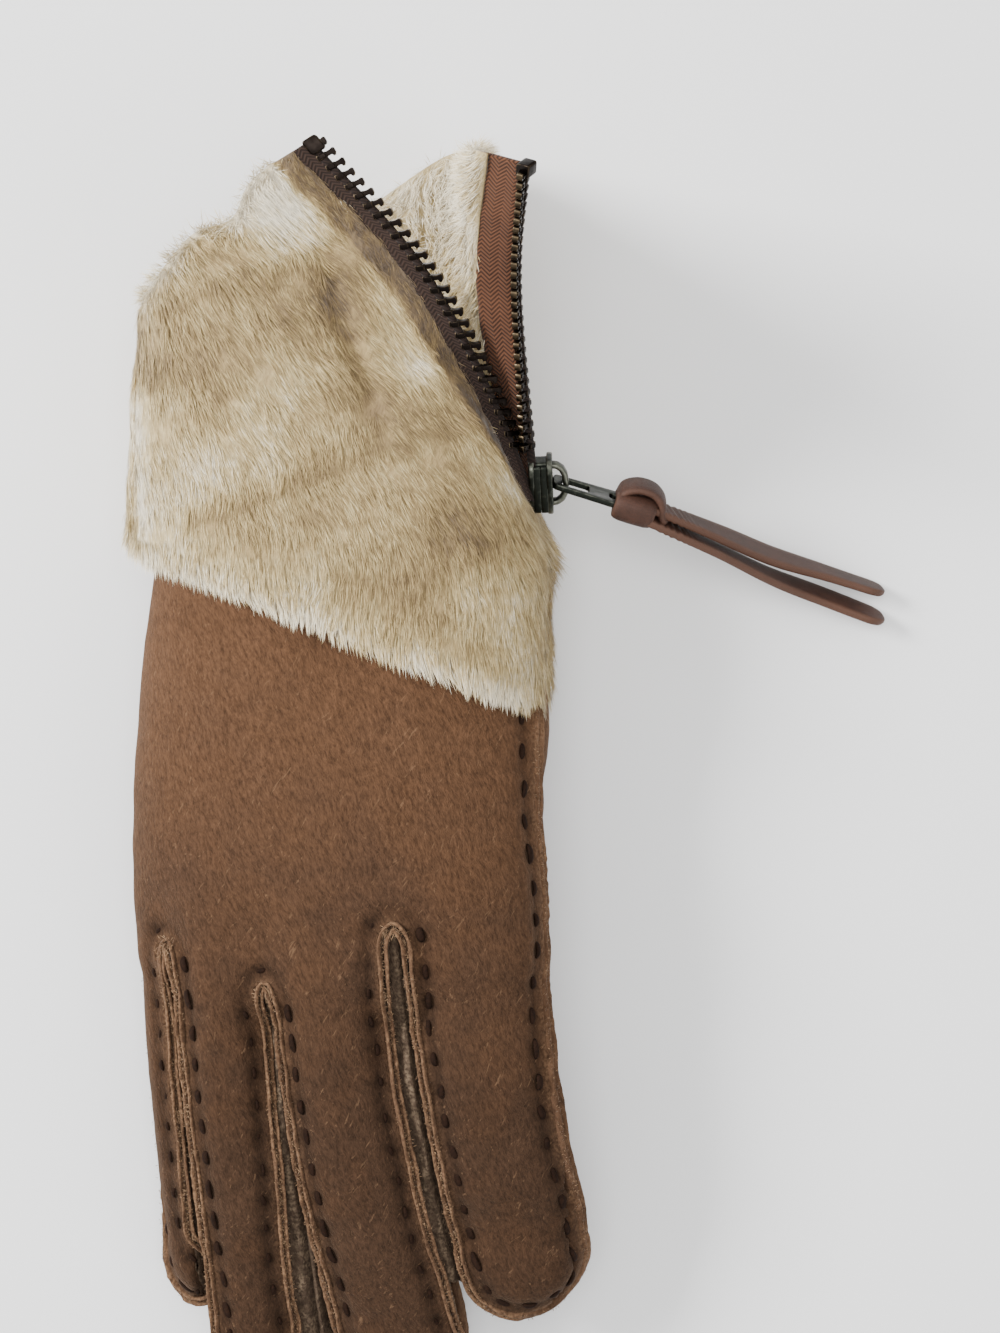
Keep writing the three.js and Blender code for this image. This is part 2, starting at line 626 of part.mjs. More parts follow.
// The tab's own frame: x across as the slider's, y along the pull, z its thickness, at the bridge.
const pivot = sliderAt.clone()
  .addScaledVector(outward, SLIDER.throat / 2 + SLIDER.plate.thick + SLIDER.bridge.high / 2);
const pullAlong = outward.clone().applyAxisAngle(across, rad(TAB.lean)).normalize();
const pullFace = new THREE.Vector3().crossVectors(across, pullAlong);
const tabFrame = new THREE.Matrix4().makeBasis(across, pullAlong, pullFace).setPosition(pivot);

// A cross bar under the bridge, two rails past it, and a plate with a slot at its end for the leather.
function makeTab() {
  const { wide, thick, rail, slot, corner, eye: e } = TAB;
  const end = TAB.plate - slot;
  const railAt = (side) => boxAt(rail, slot, thick, side * (wide - rail) / 2, slot / 2 - SINK, 0);
  const parts = [
    boxAt(wide, thick, thick, 0, 0, 0),
    railAt(1),
    railAt(-1),
    plate(wide, end, thick, corner, -thick / 2).translate(0, slot - 2 * SINK + end / 2, 0),
  ];
  const eye = boxAt(e.wide, e.long, 3 * thick, 0, TAB.plate - e.back, 0);
  return union(parts.map(solidOf)).subtract(solidOf(eye)).transform(tabFrame.elements);
}

// The leather strap doubled through the tab's end, knotted, with two tails that fall to the floor.
function makeStrap() {
  const { knot: k, apart, steps } = STRAP;
  const knotAt = pivot.clone().addScaledVector(pullAlong, STRAP.start + k.long / 2 - k.back);
  const knotFrame = new THREE.Matrix4().makeBasis(across, pullAlong, pullFace).setPosition(knotAt);
  const knot = solidOf(plate(k.wide, k.long, k.high, k.corner, -k.high / 2)).transform(knotFrame.elements);
  const tails = [-1, 1].map((side) => {
    const path = STRAP_PATH.map(({ x, y, z }, i) => pivot.clone()
      .add(new THREE.Vector3(x, y + side * lerp(...apart, i / (STRAP_PATH.length - 1)), z)));
    const curve = new THREE.CatmullRomCurve3(path);
    const frames = Array.from({ length: steps + 1 }, (_, i) => {
      const along = curve.getTangentAt(i / steps);
      const wide = across.clone().addScaledVector(along, -across.dot(along)).normalize();
      const up = new THREE.Vector3().crossVectors(wide, along);
      return { at: curve.getPointAt(i / steps), across: wide, up };
    });
    return bar(frames, STRAP.wide / 2, STRAP.thick / 2);
  });
  return union([knot, ...tails]);
}

// A tape strip with its bead, and the row of teeth, along one zip edge of the cuff.
function zipSide(edge, next, width) {
  const steps = ROW_STEPS.edge;
  const beside = lerp(edge, next, 0.1);
  const frames = [];
  for (let i = 0; i <= steps; i += 1) {
    const v = lerp(1, 3, i / steps);
    const at = cuffPoint(edge, v);
    const inward = cuffPoint(beside, v).sub(at).normalize();
    const normal = cuffNormal(edge, v);
    frames.push({ at, across: inward, up: normal });
  }
  const curve = new THREE.CatmullRomCurve3(frames.map((frame) => frame.at));
  const first = ROW_START / curve.getLength();
  const frameAt = (t) => {
    const k = curve.getUtoTmapping(t) * steps;
    const i = Math.min(Math.floor(k), steps - 1);
    const mix = (key) => frames[i][key].clone().lerp(frames[i + 1][key], k - i).normalize();
    return { at: curve.getPointAt(t), across: mix('across'), up: mix('up'), along: curve.getTangentAt(t) };
  };
  const run = Array.from({ length: ROW_STEPS.bar + 1 }, (_, i) => frameAt(lerp(first, 1, i / ROW_STEPS.bar)));
  const inset = BEAD + GAP;
  const tapeWide = width - inset - 2.5 * GAP;
  const middle = inset + tapeWide / 2;
  const tapeRun = run.map((f) => ({ ...f, at: f.at.clone().addScaledVector(f.across, middle) }));
  const tape = bar(tapeRun, tapeWide / 2, TAPE_THICK / 2);
  const bead = bar(run, BEAD, BEAD);
  const teeth = Array.from({ length: TEETH }, (_, i) => {
    const f = frameAt(lerp(first + TOOTH.first, TOOTH.last, i / (TEETH - 1)));
    const { reach, neck, head, thick } = TOOTH;
    const shape = new THREE.Shape([[0, -neck], [reach, -head], [reach, head], [0, neck]]
      .map(([x, y]) => new THREE.Vector2(x, y)));
    const tooth = new THREE.ExtrudeGeometry(shape, { depth: thick, bevelEnabled: false })
      .translate(0, 0, -thick / 2);
    const out = f.across.clone().negate();
    const up = new THREE.Vector3().crossVectors(out, f.along).normalize();
    const side = new THREE.Vector3().crossVectors(up, out);
    return solidOf(tooth).transform(new THREE.Matrix4().makeBasis(out, side, up).setPosition(f.at).elements);
  });
  return { tape, teeth: union([bead, ...teeth]) };
}

// A block round the slider and the tab, which the soft pieces keep clear of.
function sliderRoom() {
  const { plate: p, throat, room: { margin, out } } = SLIDER;
  const high = throat + 2 * (p.thick + margin) + out;
  const room = boxAt(p.wide + 2 * margin, p.long + 2 * margin, high, 0, 0, out / 2);
  return solidOf(room).transform(sliderFrame.elements);
}

const FINISH = {
  suede: { color: 0x8b6246, roughness: 0.95, metalness: 0 },
  gusset: { color: 0x7a5a44, roughness: 0.95, metalness: 0 },
  wool: { color: 0xd6c6a4, roughness: 1, metalness: 0 },
  tape: { color: 0x8a5a46, roughness: 0.9, metalness: 0 },
  teeth: { color: 0x3c332c, roughness: 0.45, metalness: 0.9 },
  gunmetal: { color: 0x4a4e48, roughness: 0.35, metalness: 1 },
  leather: { color: 0x6b4a3e, roughness: 0.6, metalness: 0 },
};

const group = new THREE.Group();

function add(name, solid, finish) {
  const { vertProperties, triVerts } = solid.getMesh();
  const geometry = new THREE.BufferGeometry();
  geometry.setAttribute('position', new THREE.BufferAttribute(new Float32Array(vertProperties), 3));
  geometry.setIndex(new THREE.BufferAttribute(new Uint32Array(triVerts), 1));
  geometry.computeVertexNormals();
  const mesh = new THREE.Mesh(geometry, new THREE.MeshStandardMaterial(FINISH[finish]));
  mesh.name = name;
  group.add(mesh);
}

const lastRib = RIB_POINTS.length - 1;
const panels = makePanels();
add('back_panel', panels.back, 'suede');
add('palm_panel', panels.palm, 'suede');
makeFourchettes().forEach(([name, solid]) => add(name, solid, 'gusset'));
add('thumb', thumbTube.shell, 'suede');

const tucked = tube(HAND, { grow: GAP, counts: HAND_SIDES }).intersect(belowHem(TUCK + GAP));
const room = sliderRoom();
const woolAround = (panel) => mainBody(panel.subtract(tucked).subtract(room));
add('cuff_back', woolAround(cuffPanel(0, CUFF_SPLIT)), 'wool');
add('cuff_palm', woolAround(cuffPanel(CUFF_SPLIT, lastRib)), 'wool');

const near = zipSide(0, 1, NEAR_TAPE);
const far = zipSide(lastRib, lastRib - 1, FAR_TAPE);
add('zip_tape_near', near.tape, 'tape');
add('zip_tape_far', far.tape, 'tape');
add('zip_teeth_near', near.teeth, 'teeth');
add('zip_teeth_far', far.teeth, 'teeth');
add('zip_slider', makeSlider(), 'gunmetal');
const tab = makeTab();
add('pull_tab', tab, 'gunmetal');
add('pull_strap', makeStrap().subtract(tab), 'leather');

export default group;
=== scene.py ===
"""Looks of a right-hand suede glove with a shearling cuff, lying back up with its side zip open.

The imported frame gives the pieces' places. The soft pieces are modelled here as fine surfaces from the same
sections as the frame's, in millimetres, and turned to metres when a mesh is made.
"""

from __future__ import annotations

import itertools
import logging
import math
from dataclasses import dataclass, field
from enum import Enum
from functools import partial
from typing import Callable, Sequence

import bmesh
import bpy
import numpy as np
from mathutils import Matrix, Vector
from mathutils.kdtree import KDTree

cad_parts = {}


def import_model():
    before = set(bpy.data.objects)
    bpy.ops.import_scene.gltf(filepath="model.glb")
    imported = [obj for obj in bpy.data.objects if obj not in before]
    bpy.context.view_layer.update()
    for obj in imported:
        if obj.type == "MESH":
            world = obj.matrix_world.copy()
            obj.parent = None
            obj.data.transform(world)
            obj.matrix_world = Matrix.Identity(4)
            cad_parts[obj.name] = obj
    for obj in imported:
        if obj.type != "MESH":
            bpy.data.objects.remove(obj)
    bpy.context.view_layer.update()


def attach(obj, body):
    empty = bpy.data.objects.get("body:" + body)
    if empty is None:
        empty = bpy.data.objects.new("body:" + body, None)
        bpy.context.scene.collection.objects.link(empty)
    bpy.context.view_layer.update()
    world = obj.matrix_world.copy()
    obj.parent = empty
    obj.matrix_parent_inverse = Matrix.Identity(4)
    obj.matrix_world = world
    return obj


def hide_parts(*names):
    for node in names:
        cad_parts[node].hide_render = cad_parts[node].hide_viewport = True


LOG = logging.getLogger("glove")
MM = 0.001
GLOVE = "glove"
PULL = "zip_pull"
Array = np.ndarray
Field = Callable[[Array, Array, Array], Array]
Piece = bpy.types.Object
Finish = bpy.types.Material
Socket = bpy.types.NodeSocket
Marks = dict[str, Array]
Part = tuple[Array, list[Array], Marks]
Rows = tuple[tuple[float, ...], ...]
Colour = tuple[int, int, int]
Point = tuple[float, float, float]


class Slot(Enum):
    """The record's material slots."""

    SUEDE = "suede"
    GUSSET = "gusset_suede"
    WOOL = "wool"
    TAPE = "zip_tape"
    TEETH = "zip_teeth"
    GUNMETAL = "gunmetal"
    LEATHER = "pull_leather"


# Driving dimensions, in millimetres, the same as the frame's.
WALL = 2.8
SECTION_POWER = 2.4  # how square the sections of the fingers and the cuff are
HEM_SLOPE = -0.39
HEM_Y = 7.5
HEM_UNDER = 9.0
TUCK = 20.0  # how far the suede runs on inside the cuff
SEAM_SIDE = 50.0

# How smoothly forms meet, and the gaps between them, in millimetres.
SLIT_EDGE = 1.2
FLOOR_EDGE = 1.5
FINGER_SIDE = 2.2
SEAM_GAP = 0.1  # between the panels
THUMB_GAP = 0.4  # round the hole that the thumb grows from

# How finely paths, rays and tables are followed.
SEAM_STEP = 0.75  # millimetres
RAY_STEP = 0.1  # millimetres
PATH_STEPS = 24  # points between two of a path's own
TABLE_STEPS = 16  # and between two rows of a table
FAR = 99.0  # a distance at which nothing is marked


def smoothstep(low: float, high: float, value: Array) -> Array:
    """A smooth 0 to 1 step of value from low to high."""
    t = np.clip((value - low) / (high - low), 0.0, 1.0)
    return t * t * (3 - 2 * t)


def faded(distance: Array, wide: float) -> Array:
    """1 at no distance, and next to nothing from twice the width on."""
    return np.exp(-(distance / wide) ** 2)


def unit(vectors: Array) -> Array:
    """Vectors along the last axis, scaled to length 1."""
    return vectors / np.maximum(np.linalg.norm(vectors, axis=-1, keepdims=True), 1e-9)


def smooth_min(a: Array, b: Array, blend: float) -> Array:
    """The lesser of two fields, rounded over where they are within blend of each other."""
    share = np.maximum(blend - np.abs(a - b), 0.0) / blend
    return np.minimum(a, b) - share * share * blend / 4


def smooth_max(a: Array, b: Array, blend: float) -> Array:
    """The greater of two fields, rounded over."""
    return -smooth_min(-a, -b, blend)


def nearest(places: Array, points: Array) -> Array:
    """How far each point is from the nearest of the places, or a long way where there are none."""
    if not len(places):
        return np.full(len(points), FAR)
    tree = KDTree(len(places))
    for number, place_at in enumerate(places):
        tree.insert(place_at, number)
    tree.balance()
    return np.array([tree.find(point)[2] for point in points])


def keep_above(points: Array, height: float) -> None:
    """Lifts the points that are lower than a height to it."""
    points[..., 2] = np.maximum(points[..., 2], height)


def squared(angles: Array, power_x: float, power_y: float) -> Array:
    """Corners of a round outline of radius 1, with flatter sides for lesser powers."""
    c, s = np.cos(angles), np.sin(angles)
    return np.stack([np.sign(c) * np.abs(c) ** power_x, np.sign(s) * np.abs(s) ** power_y], axis=1)


class LatticeNoise:
    """Smooth value noise on a seeded lattice, the same in every run."""

    def __init__(self, seed: int, size: int = 24) -> None:
        """Fills the lattice.

        Args:
            seed: picks the lattice's values.
            size: lattice points along each axis before it repeats.
        """
        self.size = size
        self.table = np.random.default_rng(seed).uniform(-1, 1, (size, size, size))

    def at(self, points: Array, scale: float) -> Array:
        """Noise from -1 to 1 at each point.

        Args:
            points: array whose last axis is x, y, z.
            scale: size of one lump, in the points' own units.

        Returns:
            One value for each point.
        """
        where = points / scale
        base = np.floor(where).astype(int)
        t = where - base
        t = t * t * (3 - 2 * t)
        total = np.zeros(points.shape[:-1])
        for corner in itertools.product((0, 1), repeat=3):
            i = (base + np.array(corner)) % self.size
            weight = np.prod(np.where(np.array(corner) == 1, t, 1 - t), axis=-1)
            total += weight * self.table[i[..., 0], i[..., 1], i[..., 2]]
        return total

    def three(self, points: Array, scale: float, apart: float, start: float = 0) -> Array:
        """Three noises at each point as one vector, read so far apart from each other."""
        return np.stack([self.at(points + apart * k + start, scale) for k in range(3)], axis=-1)


NOISE = LatticeNoise(11)


def catmull_rom(p0: Array, p1: Array, p2: Array, p3: Array, t: Array) -> Array:
    """A point between p1 and p2 on the smooth curve through all four."""
    m1, m2 = (p2 - p0) / 2, (p3 - p1) / 2
    t2, t3 = t * t, t * t * t
    return (2 * t3 - 3 * t2 + 1) * p1 + (t3 - 2 * t2 + t) * m1 + (3 * t2 - 2 * t3) * p2 + (t3 - t2) * m2


def smooth_path(points: Sequence[Sequence[float]], step: float) -> Array:
    """Points about step apart on a smooth curve through the given ones.

    Args:
        points: the curve's own points.
        step: spacing of the result.

    Returns:
        An array of points, evenly spaced along the curve.
    """
    given = np.array(points, float)
    ends = np.vstack([2 * given[0] - given[1], given, 2 * given[-1] - given[-2]])
    t = np.linspace(0, 1, PATH_STEPS, endpoint=False)[:, None]
    dense = [catmull_rom(*ends[i:i + 4], t) for i in range(len(given) - 1)]
    return respaced(np.vstack([*dense, given[-1:]]), step)


def run_along(path: Array) -> Array:
    """How far along the path each of its points is."""
    return np.concatenate([[0.0], np.cumsum(np.linalg.norm(np.diff(path, axis=0), axis=1))])


def resampled(values: Array, run: Array, wanted: Array) -> Array:
    """The values, known at the distances in run, at the wanted distances."""
    return np.stack([np.interp(wanted, run, column) for column in values.T], axis=1)


def respaced(path: Array, step: float) -> Array:
    """The path with its points evenly spaced, about step apart."""
    run = run_along(path)
    return resampled(path, run, np.linspace(0, run[-1], max(2, int(round(run[-1] / step)) + 1)))


class Table:
    """Named columns against y, smooth between rows that run from high y to low y."""

    def __init__(self, columns: Sequence[str], rows: Sequence[Sequence[float]]) -> None:
        """Tabulates the rows finely.

        Args:
            columns: the names of the columns after y.
            rows: y and one number for each column.
        """
        given = np.array(rows, float)
        ends = np.vstack([given[0], given, given[-1]])
        t = np.linspace(0, 1, TABLE_STEPS, endpoint=False)[:, None]
        spans = range(len(given) - 1)
        dense = np.vstack([*(catmull_rom(*ends[i:i + 4], t) for i in spans), given[-1:]])
        straight = [given[i] + (given[i + 1] - given[i]) * t for i in spans]
        self.y = np.vstack([*straight, given[-1:]])[::-1, 0]
        self.columns = {name: dense[::-1, k + 1] for k, name in enumerate(columns)}
        self.start, self.end = given[0, 0], given[-1, 0]

    def at(self, name: str, y: Array) -> Array:
        """One column's value at y, held at the ends."""
        return np.interp(y, self.y, self.columns[name])


@dataclass(frozen=True)
class Form:
    """A tube of the glove: its sections across Y, and the length of its rounded tip.

    Each row is y, centre x and z, half width a, half height b, and roll in degrees. The tube runs on past
    its first row by inside, within the hand.
    """

    rows: Rows
    dome: float
    inside: float = 0.0
    table: Table = field(init=False)

    def __post_init__(self) -> None:
        """Tabulates the sections."""
        object.__setattr__(self, "table", Table(("x", "z", "a", "b", "roll"), self.rows))

    def distance(self, x: Array, y: Array, z: Array, inset: float = 0.0) -> Array:
        """How far a point is outside the tube, or inside it where negative.

        Args:
            x: across the hand.
            y: along the hand.
            z: height.
            inset: how much smaller the tube is made all round.

        Returns:
            The distance in millimetres, near the surface.
        """
        at = self.table.at
        a, b = at("a", y) - inset, at("b", y) - inset
        roll = np.radians(at("roll", y))
        dx, dz = x - at("x", y), z - at("z", y)
        u = dx * np.cos(roll) + dz * np.sin(roll)
        w = dz * np.cos(roll) - dx * np.sin(roll)
        over = np.maximum(self.table.end - y, 0.0)
        ring = (np.abs(u / a) ** SECTION_POWER + np.abs(w / b) ** SECTION_POWER) ** (2 / SECTION_POWER)
        share = np.sqrt(ring + (over / (self.dome - inset)) ** 2)
        away = np.sqrt(u * u + w * w + over * over) * (1 - 1 / np.maximum(share, 0.02))
        return np.maximum(away, y - self.table.start - self.inside)


@dataclass(frozen=True)
class Slit:
    """A slit between two fingers: where its middle runs, and its half width.

    Each row is y, x where the slit's middle passes z, z, the lean of its top to the left in degrees, and
    half the distance between its lips.
    """

    rows: Rows
    slot: float = 0.5
    table: Table = field(init=False)

    def __post_init__(self) -> None:
        """Tabulates the rows."""
        object.__setattr__(self, "table", Table(("x", "z", "tilt", "lip"), self.rows))

    def lip(self, y: Array) -> Array:
        """Half the distance between the lips at y."""
        return self.table.at("lip", y)

    @property
    def top(self) -> float:
        """The y of the slit's closed end."""
        return self.rows[0][0]

    def local(self, x: Array, y: Array, z: Array) -> tuple[Array, Array]:
        """How far across and how far up a point is in the slit's own leaning frame."""
        tilt = np.radians(self.table.at("tilt", y))
        dx, dz = x - self.table.at("x", y), z - self.table.at("z", y)
        return dx * np.cos(tilt) + dz * np.sin(tilt), dz * np.cos(tilt) - dx * np.sin(tilt)

    def point(self, across: Array, y: Array, up: Array) -> Array:
        """The point that lies so far across and up in the slit's frame."""
        tilt = np.radians(self.table.at("tilt", y))
        x = self.table.at("x", y) + across * np.cos(tilt) - up * np.sin(tilt)
        z = self.table.at("z", y) + across * np.sin(tilt) + up * np.cos(tilt)
        return np.stack(np.broadcast_arrays(x, y, z), axis=-1)


HAND = Form(dome=14, rows=(
    (52, -0.5, 25.8, 36.5, 18.5, 3),
    (26, -0.5, 25.3, 38, 18.8, 3),
    (14, -0.4, 22.9, 40.2, 20.2, 4),
    (5, 0, 20.2, 42.2, 21.7, 5),
    (-12, 0.2, 19.9, 44.1, 21.6, 6.5),
    (-28, -1.3, 22.6, 43.6, 19.5, 9),
    (-46, -1.6, 25, 43.4, 16, 12),
    (-60, -0.6, 26, 42.4, 12.2, 12),
))
LITTLE = Form(dome=12.5, inside=18, rows=(
    (-40, -33.8, 15.5, 8.6, 10.5, 0),
    (-60, -35.3, 14, 8.2, 10.6, 0),
    (-85, -34, 12.5, 8, 10.4, 0),
    (-110, -32.2, 11.2, 7.8, 10, 0),
    (-124, -30.9, 9.8, 7.4, 9.4, 0),
))
RING = Form(dome=13, inside=18, rows=(
    (-40, -25.2, 22, 10.5, 11, 0),
    (-60, -25, 22, 10.2, 11, 0),
    (-85, -23.6, 21, 9.8, 10.5, 0),
    (-110, -20.8, 18.5, 9.9, 10.2, 0),
    (-144, -19, 11, 9.2, 9.6, 0),
))
MIDDLE = Form(dome=14, inside=18, rows=(
    (-40, -3, 25.5, 13, 12, 0),
    (-60, -2.3, 26, 12.6, 11.4, 0),
    (-85, 0.4, 25.5, 12.8, 10.6, 0),
    (-110, 4.6, 22.5, 13.3, 10.2, 0),
    (-130, 9.8, 16.5, 14, 9.7, 0),
    (-150, 13.5, 10, 13.4, 9.4, 0),
))
INDEX = Form(dome=15, inside=18, rows=(
    (-40, 27.5, 29.5, 13.8, 11.5, 0),
    (-60, 28, 29.4, 14.3, 11.4, 0),
    (-85, 30.6, 28, 14.9, 10.4, 0),
    (-110, 35, 23, 15, 10, 0),
    (-123, 37.4, 18, 14.2, 9.6, 0),
))
THUMB = Form(dome=12, rows=(
    (-8, 29, 24, 9.5, 9, 0),
    (-20, 30.5, 15.5, 11.5, 9.6, 0),
    (-32, 31, 9.6, 12, 9.6, 0),
    (-50, 28.5, 8.2, 11.8, 8.6, 0),
    (-70, 24, 8.2, 11.3, 8.4, 0),
    (-84, 20.5, 8, 10.6, 8.2, 0),
))
FINGERS = (LITTLE, RING, MIDDLE, INDEX)
SLITS = (
    Slit(rows=((-58, -30.6, 17.8, 34, 1.7), (-85, -29.1, 16.5, 39, 1.4),
               (-110, -26.9, 14.6, 33, 2.0), (-150, -27, 11, 20, 2.3))),
    Slit(rows=((-66.5, -14.4, 25, 8, 1.6), (-85, -13.1, 25, 7, 1.9), (-110, -9.8, 22, 8, 2.8),
               (-135, -6.8, 16, 8, 4.2), (-175, -3, 12, 8, 4.4))),
    Slit(rows=((-53.5, 11.6, 27, 0, 2.3), (-85, 14.4, 27, 0, 3.3), (-110, 19, 23, 0, 3.2),
               (-126, 23.4, 18, 0, 3.1), (-175, 36, 12, 0, 3.1))),
)
SEAM = Table(("left", "right"), (
    (60, 12, 31), (0, 10, 33), (-28, 8, 34.6), (-60, 8, 34), (-85, 7, 34), (-110, 6, 29), (-135, 4, 20),
    (-180, 4, 16),
))


def blade(slit: Slit, half: float, x: Array, y: Array, z: Array, past: float = 0.0) -> Array:
    """Distance outside the thin wedge that a slit takes out, up to past beyond its closed end."""
    across, _ = slit.local(x, y, z)
    return np.maximum(np.abs(across) - half, y - slit.top - past)


def finger_field(number: int, x: Array, y: Array, z: Array, inset: float) -> Array:
    """One finger, stopped at the faces of the slits beside it."""
    body = FINGERS[number].distance(x, y, z, inset)
    for slit, side in ((number - 1, -1), (number, 1)):
        if 0 <= slit < len(SLITS):
            across, _ = SLITS[slit].local(x, y, z)
            beyond = side * across + SLITS[slit].slot + inset
            body = smooth_max(body, np.minimum(beyond, SLITS[slit].top + inset - y), FINGER_SIDE)
    return body


def skin_field(x: Array, y: Array, z: Array) -> Array:
    """The glove's outer surface, flat where it lies on the floor."""
    hand = HAND.distance(x, y, z)
    blend = 0.3 + 4.7 * (1 - smoothstep(-52.0, -24.0, y))
    whole = hand
    for number in range(len(FINGERS)):
        whole = np.minimum(whole, smooth_min(hand, finger_field(number, x, y, z, 0), blend))
    for slit in SLITS:
        whole = smooth_max(whole, -blade(slit, slit.slot, x, y, z), SLIT_EDGE)
    return smooth_max(whole, -z, FLOOR_EDGE)


def thumb_field(x: Array, y: Array, z: Array) -> Array:
    """The thumb's outer surface, flat where it lies on the floor."""
    return smooth_max(THUMB.distance(x, y, z), -z, FLOOR_EDGE)


def cavity_field(x: Array, y: Array, z: Array) -> Array:
    """The hollow that the hand goes in."""
    whole = HAND.distance(x, y, z, WALL)
    for slit in SLITS:
        whole = np.maximum(whole, -blade(slit, slit.slot + WALL, x, y, z, WALL))
    for number in range(len(FINGERS)):
        whole = np.minimum(whole, finger_field(number, x, y, z, WALL))
    return np.maximum(whole, WALL - z)


def seam_height(x: Array, y: Array) -> Array:
    """Height of the seam between the back and the palm."""
    left, right = SEAM.at("left", y), SEAM.at("right", y)
    return left + (right - left) * (x + SEAM_SIDE) / (2 * SEAM_SIDE)


@dataclass(frozen=True)
class Gusset:
    """The part of the wall between two fingers that a forked gusset takes up."""

    high: float = 2.5
    beyond: float = 0.5
    crotch: float = WALL + 0.6

    def region(self, slit: Slit, x: Array, y: Array, z: Array) -> Array:
        """Distance outside the gusset's region: narrow between the lips, wide below them."""
        across, up = slit.local(x, y, z)
        across, up = np.abs(across), np.abs(up)
        wide = np.maximum(across - slit.slot - WALL - self.beyond,
                          np.maximum(up - self.high, y - slit.top - self.crotch))
        narrow = np.maximum(across - slit.lip(y) + 0.15, y - slit.top + 0.4)
        return np.minimum(wide, narrow)


GUSSET = Gusset()
EDGES = tuple(itertools.combinations(itertools.product((0, 1), repeat=3), 2))
CELL_EDGES = tuple((a, b) for a, b in EDGES if sum(abs(p - q) for p, q in zip(a, b)) == 1)


@dataclass
class Block:
    """A box of sample points, and the surface where a field on it is zero."""

    low: Point
    high: Point
    step: float

    def __post_init__(self) -> None:
        """Lays out the sample points along each axis."""
        self.axes = [np.arange(low, high + self.step, self.step) for low, high in zip(self.low, self.high)]

    def sample(self, shape: Field) -> Array:
        """The field's values on the block's grid."""
        x, y, z = self.axes
        values = shape(x[:, None, None], y[None, :, None], z[None, None, :])
        return np.broadcast_to(values, (len(x), len(y), len(z)))

    def surface(self, values: Array) -> tuple[Array, Array]:
        """Wraps a net of quads round the samples below zero.

        Args:
            values: the field's values on the block's grid.

        Returns:
            The net's points, and its faces of four point numbers that face outwards.
        """
        inside = values < 0
        corners = {c: inside[c[0]:c[0] - 1 or None, c[1]:c[1] - 1 or None, c[2]:c[2] - 1 or None]
                   for c in itertools.product((0, 1), repeat=3)}
        count = sum(part.astype(np.int8) for part in corners.values())
        cells = np.argwhere((count > 0) & (count < 8))
        number = np.full(count.shape, -1, int)
        number[tuple(cells.T)] = np.arange(len(cells))
        total, hits = np.zeros((len(cells), 3)), np.zeros(len(cells))
        for a, b in CELL_EDGES:
            va, vb = values[tuple((cells + a).T)], values[tuple((cells + b).T)]
            cross = (va < 0) != (vb < 0)
            t = np.where(cross, va / np.where(cross, va - vb, 1), 0)
            total += np.where(cross[:, None], np.array(a) + t[:, None] * (np.array(b) - a), 0)
            hits += cross
        points = (cells + total / hits[:, None]) * self.step + np.array([axis[0] for axis in self.axes])
        faces = []
        for axis in range(3):
            u, v = (axis + 1) % 3, (axis + 2) % 3
            first = [slice(1, -1)] * 3
            first[axis] = slice(None, -1)
            second = list(first)
            second[axis] = slice(1, None)
            here, there = inside[tuple(first)], inside[tuple(second)]
            for flip in (False, True):
                starts = np.argwhere((here != there) & (here != flip))
                starts[:, u] += 1
                starts[:, v] += 1
                ring = []
                for du, dv in ((-1, -1), (0, -1), (0, 0), (-1, 0)):
                    cell = starts.copy()
                    cell[:, u] += du
                    cell[:, v] += dv
                    ring.append(number[tuple(cell.T)])
                quad = np.stack(ring, axis=1)
                faces.append(quad[:, ::-1] if flip else quad)
        return points, np.vstack(faces)


def slope_of(shape: Field, points: Array, reach: float = 0.15) -> Array:
    """The field's gradient at each point."""
    parts = []
    for axis in range(3):
        shift = np.zeros(3)
        shift[axis] = reach
        parts.append((shape(*(points + shift).T) - shape(*(points - shift).T)) / (2 * reach))
    return np.stack(parts, axis=-1)


def settle(shape: Field, points: Array, rounds: int = 3, most: float = 0.6) -> Array:
    """Moves points onto the surface where the field is zero, at most so far each round."""
    for _ in range(rounds):
        slope = slope_of(shape, points)
        size = np.maximum(np.sum(slope * slope, axis=1), 0.1)
        push = np.clip(shape(*points.T) / size, -most, most)
        points = points - push[:, None] * slope
    return points


def linked(name: str, data: bpy.types.ID) -> Piece:
    """A new object in the scene that holds the data."""
    piece = bpy.data.objects.new(name, data)
    bpy.context.scene.collection.objects.link(piece)
    return piece


def finished(piece: Piece, *finishes: Finish) -> Piece:
    """The piece with its materials on it."""
    for finish in finishes:
        piece.data.materials.append(finish)
    return piece


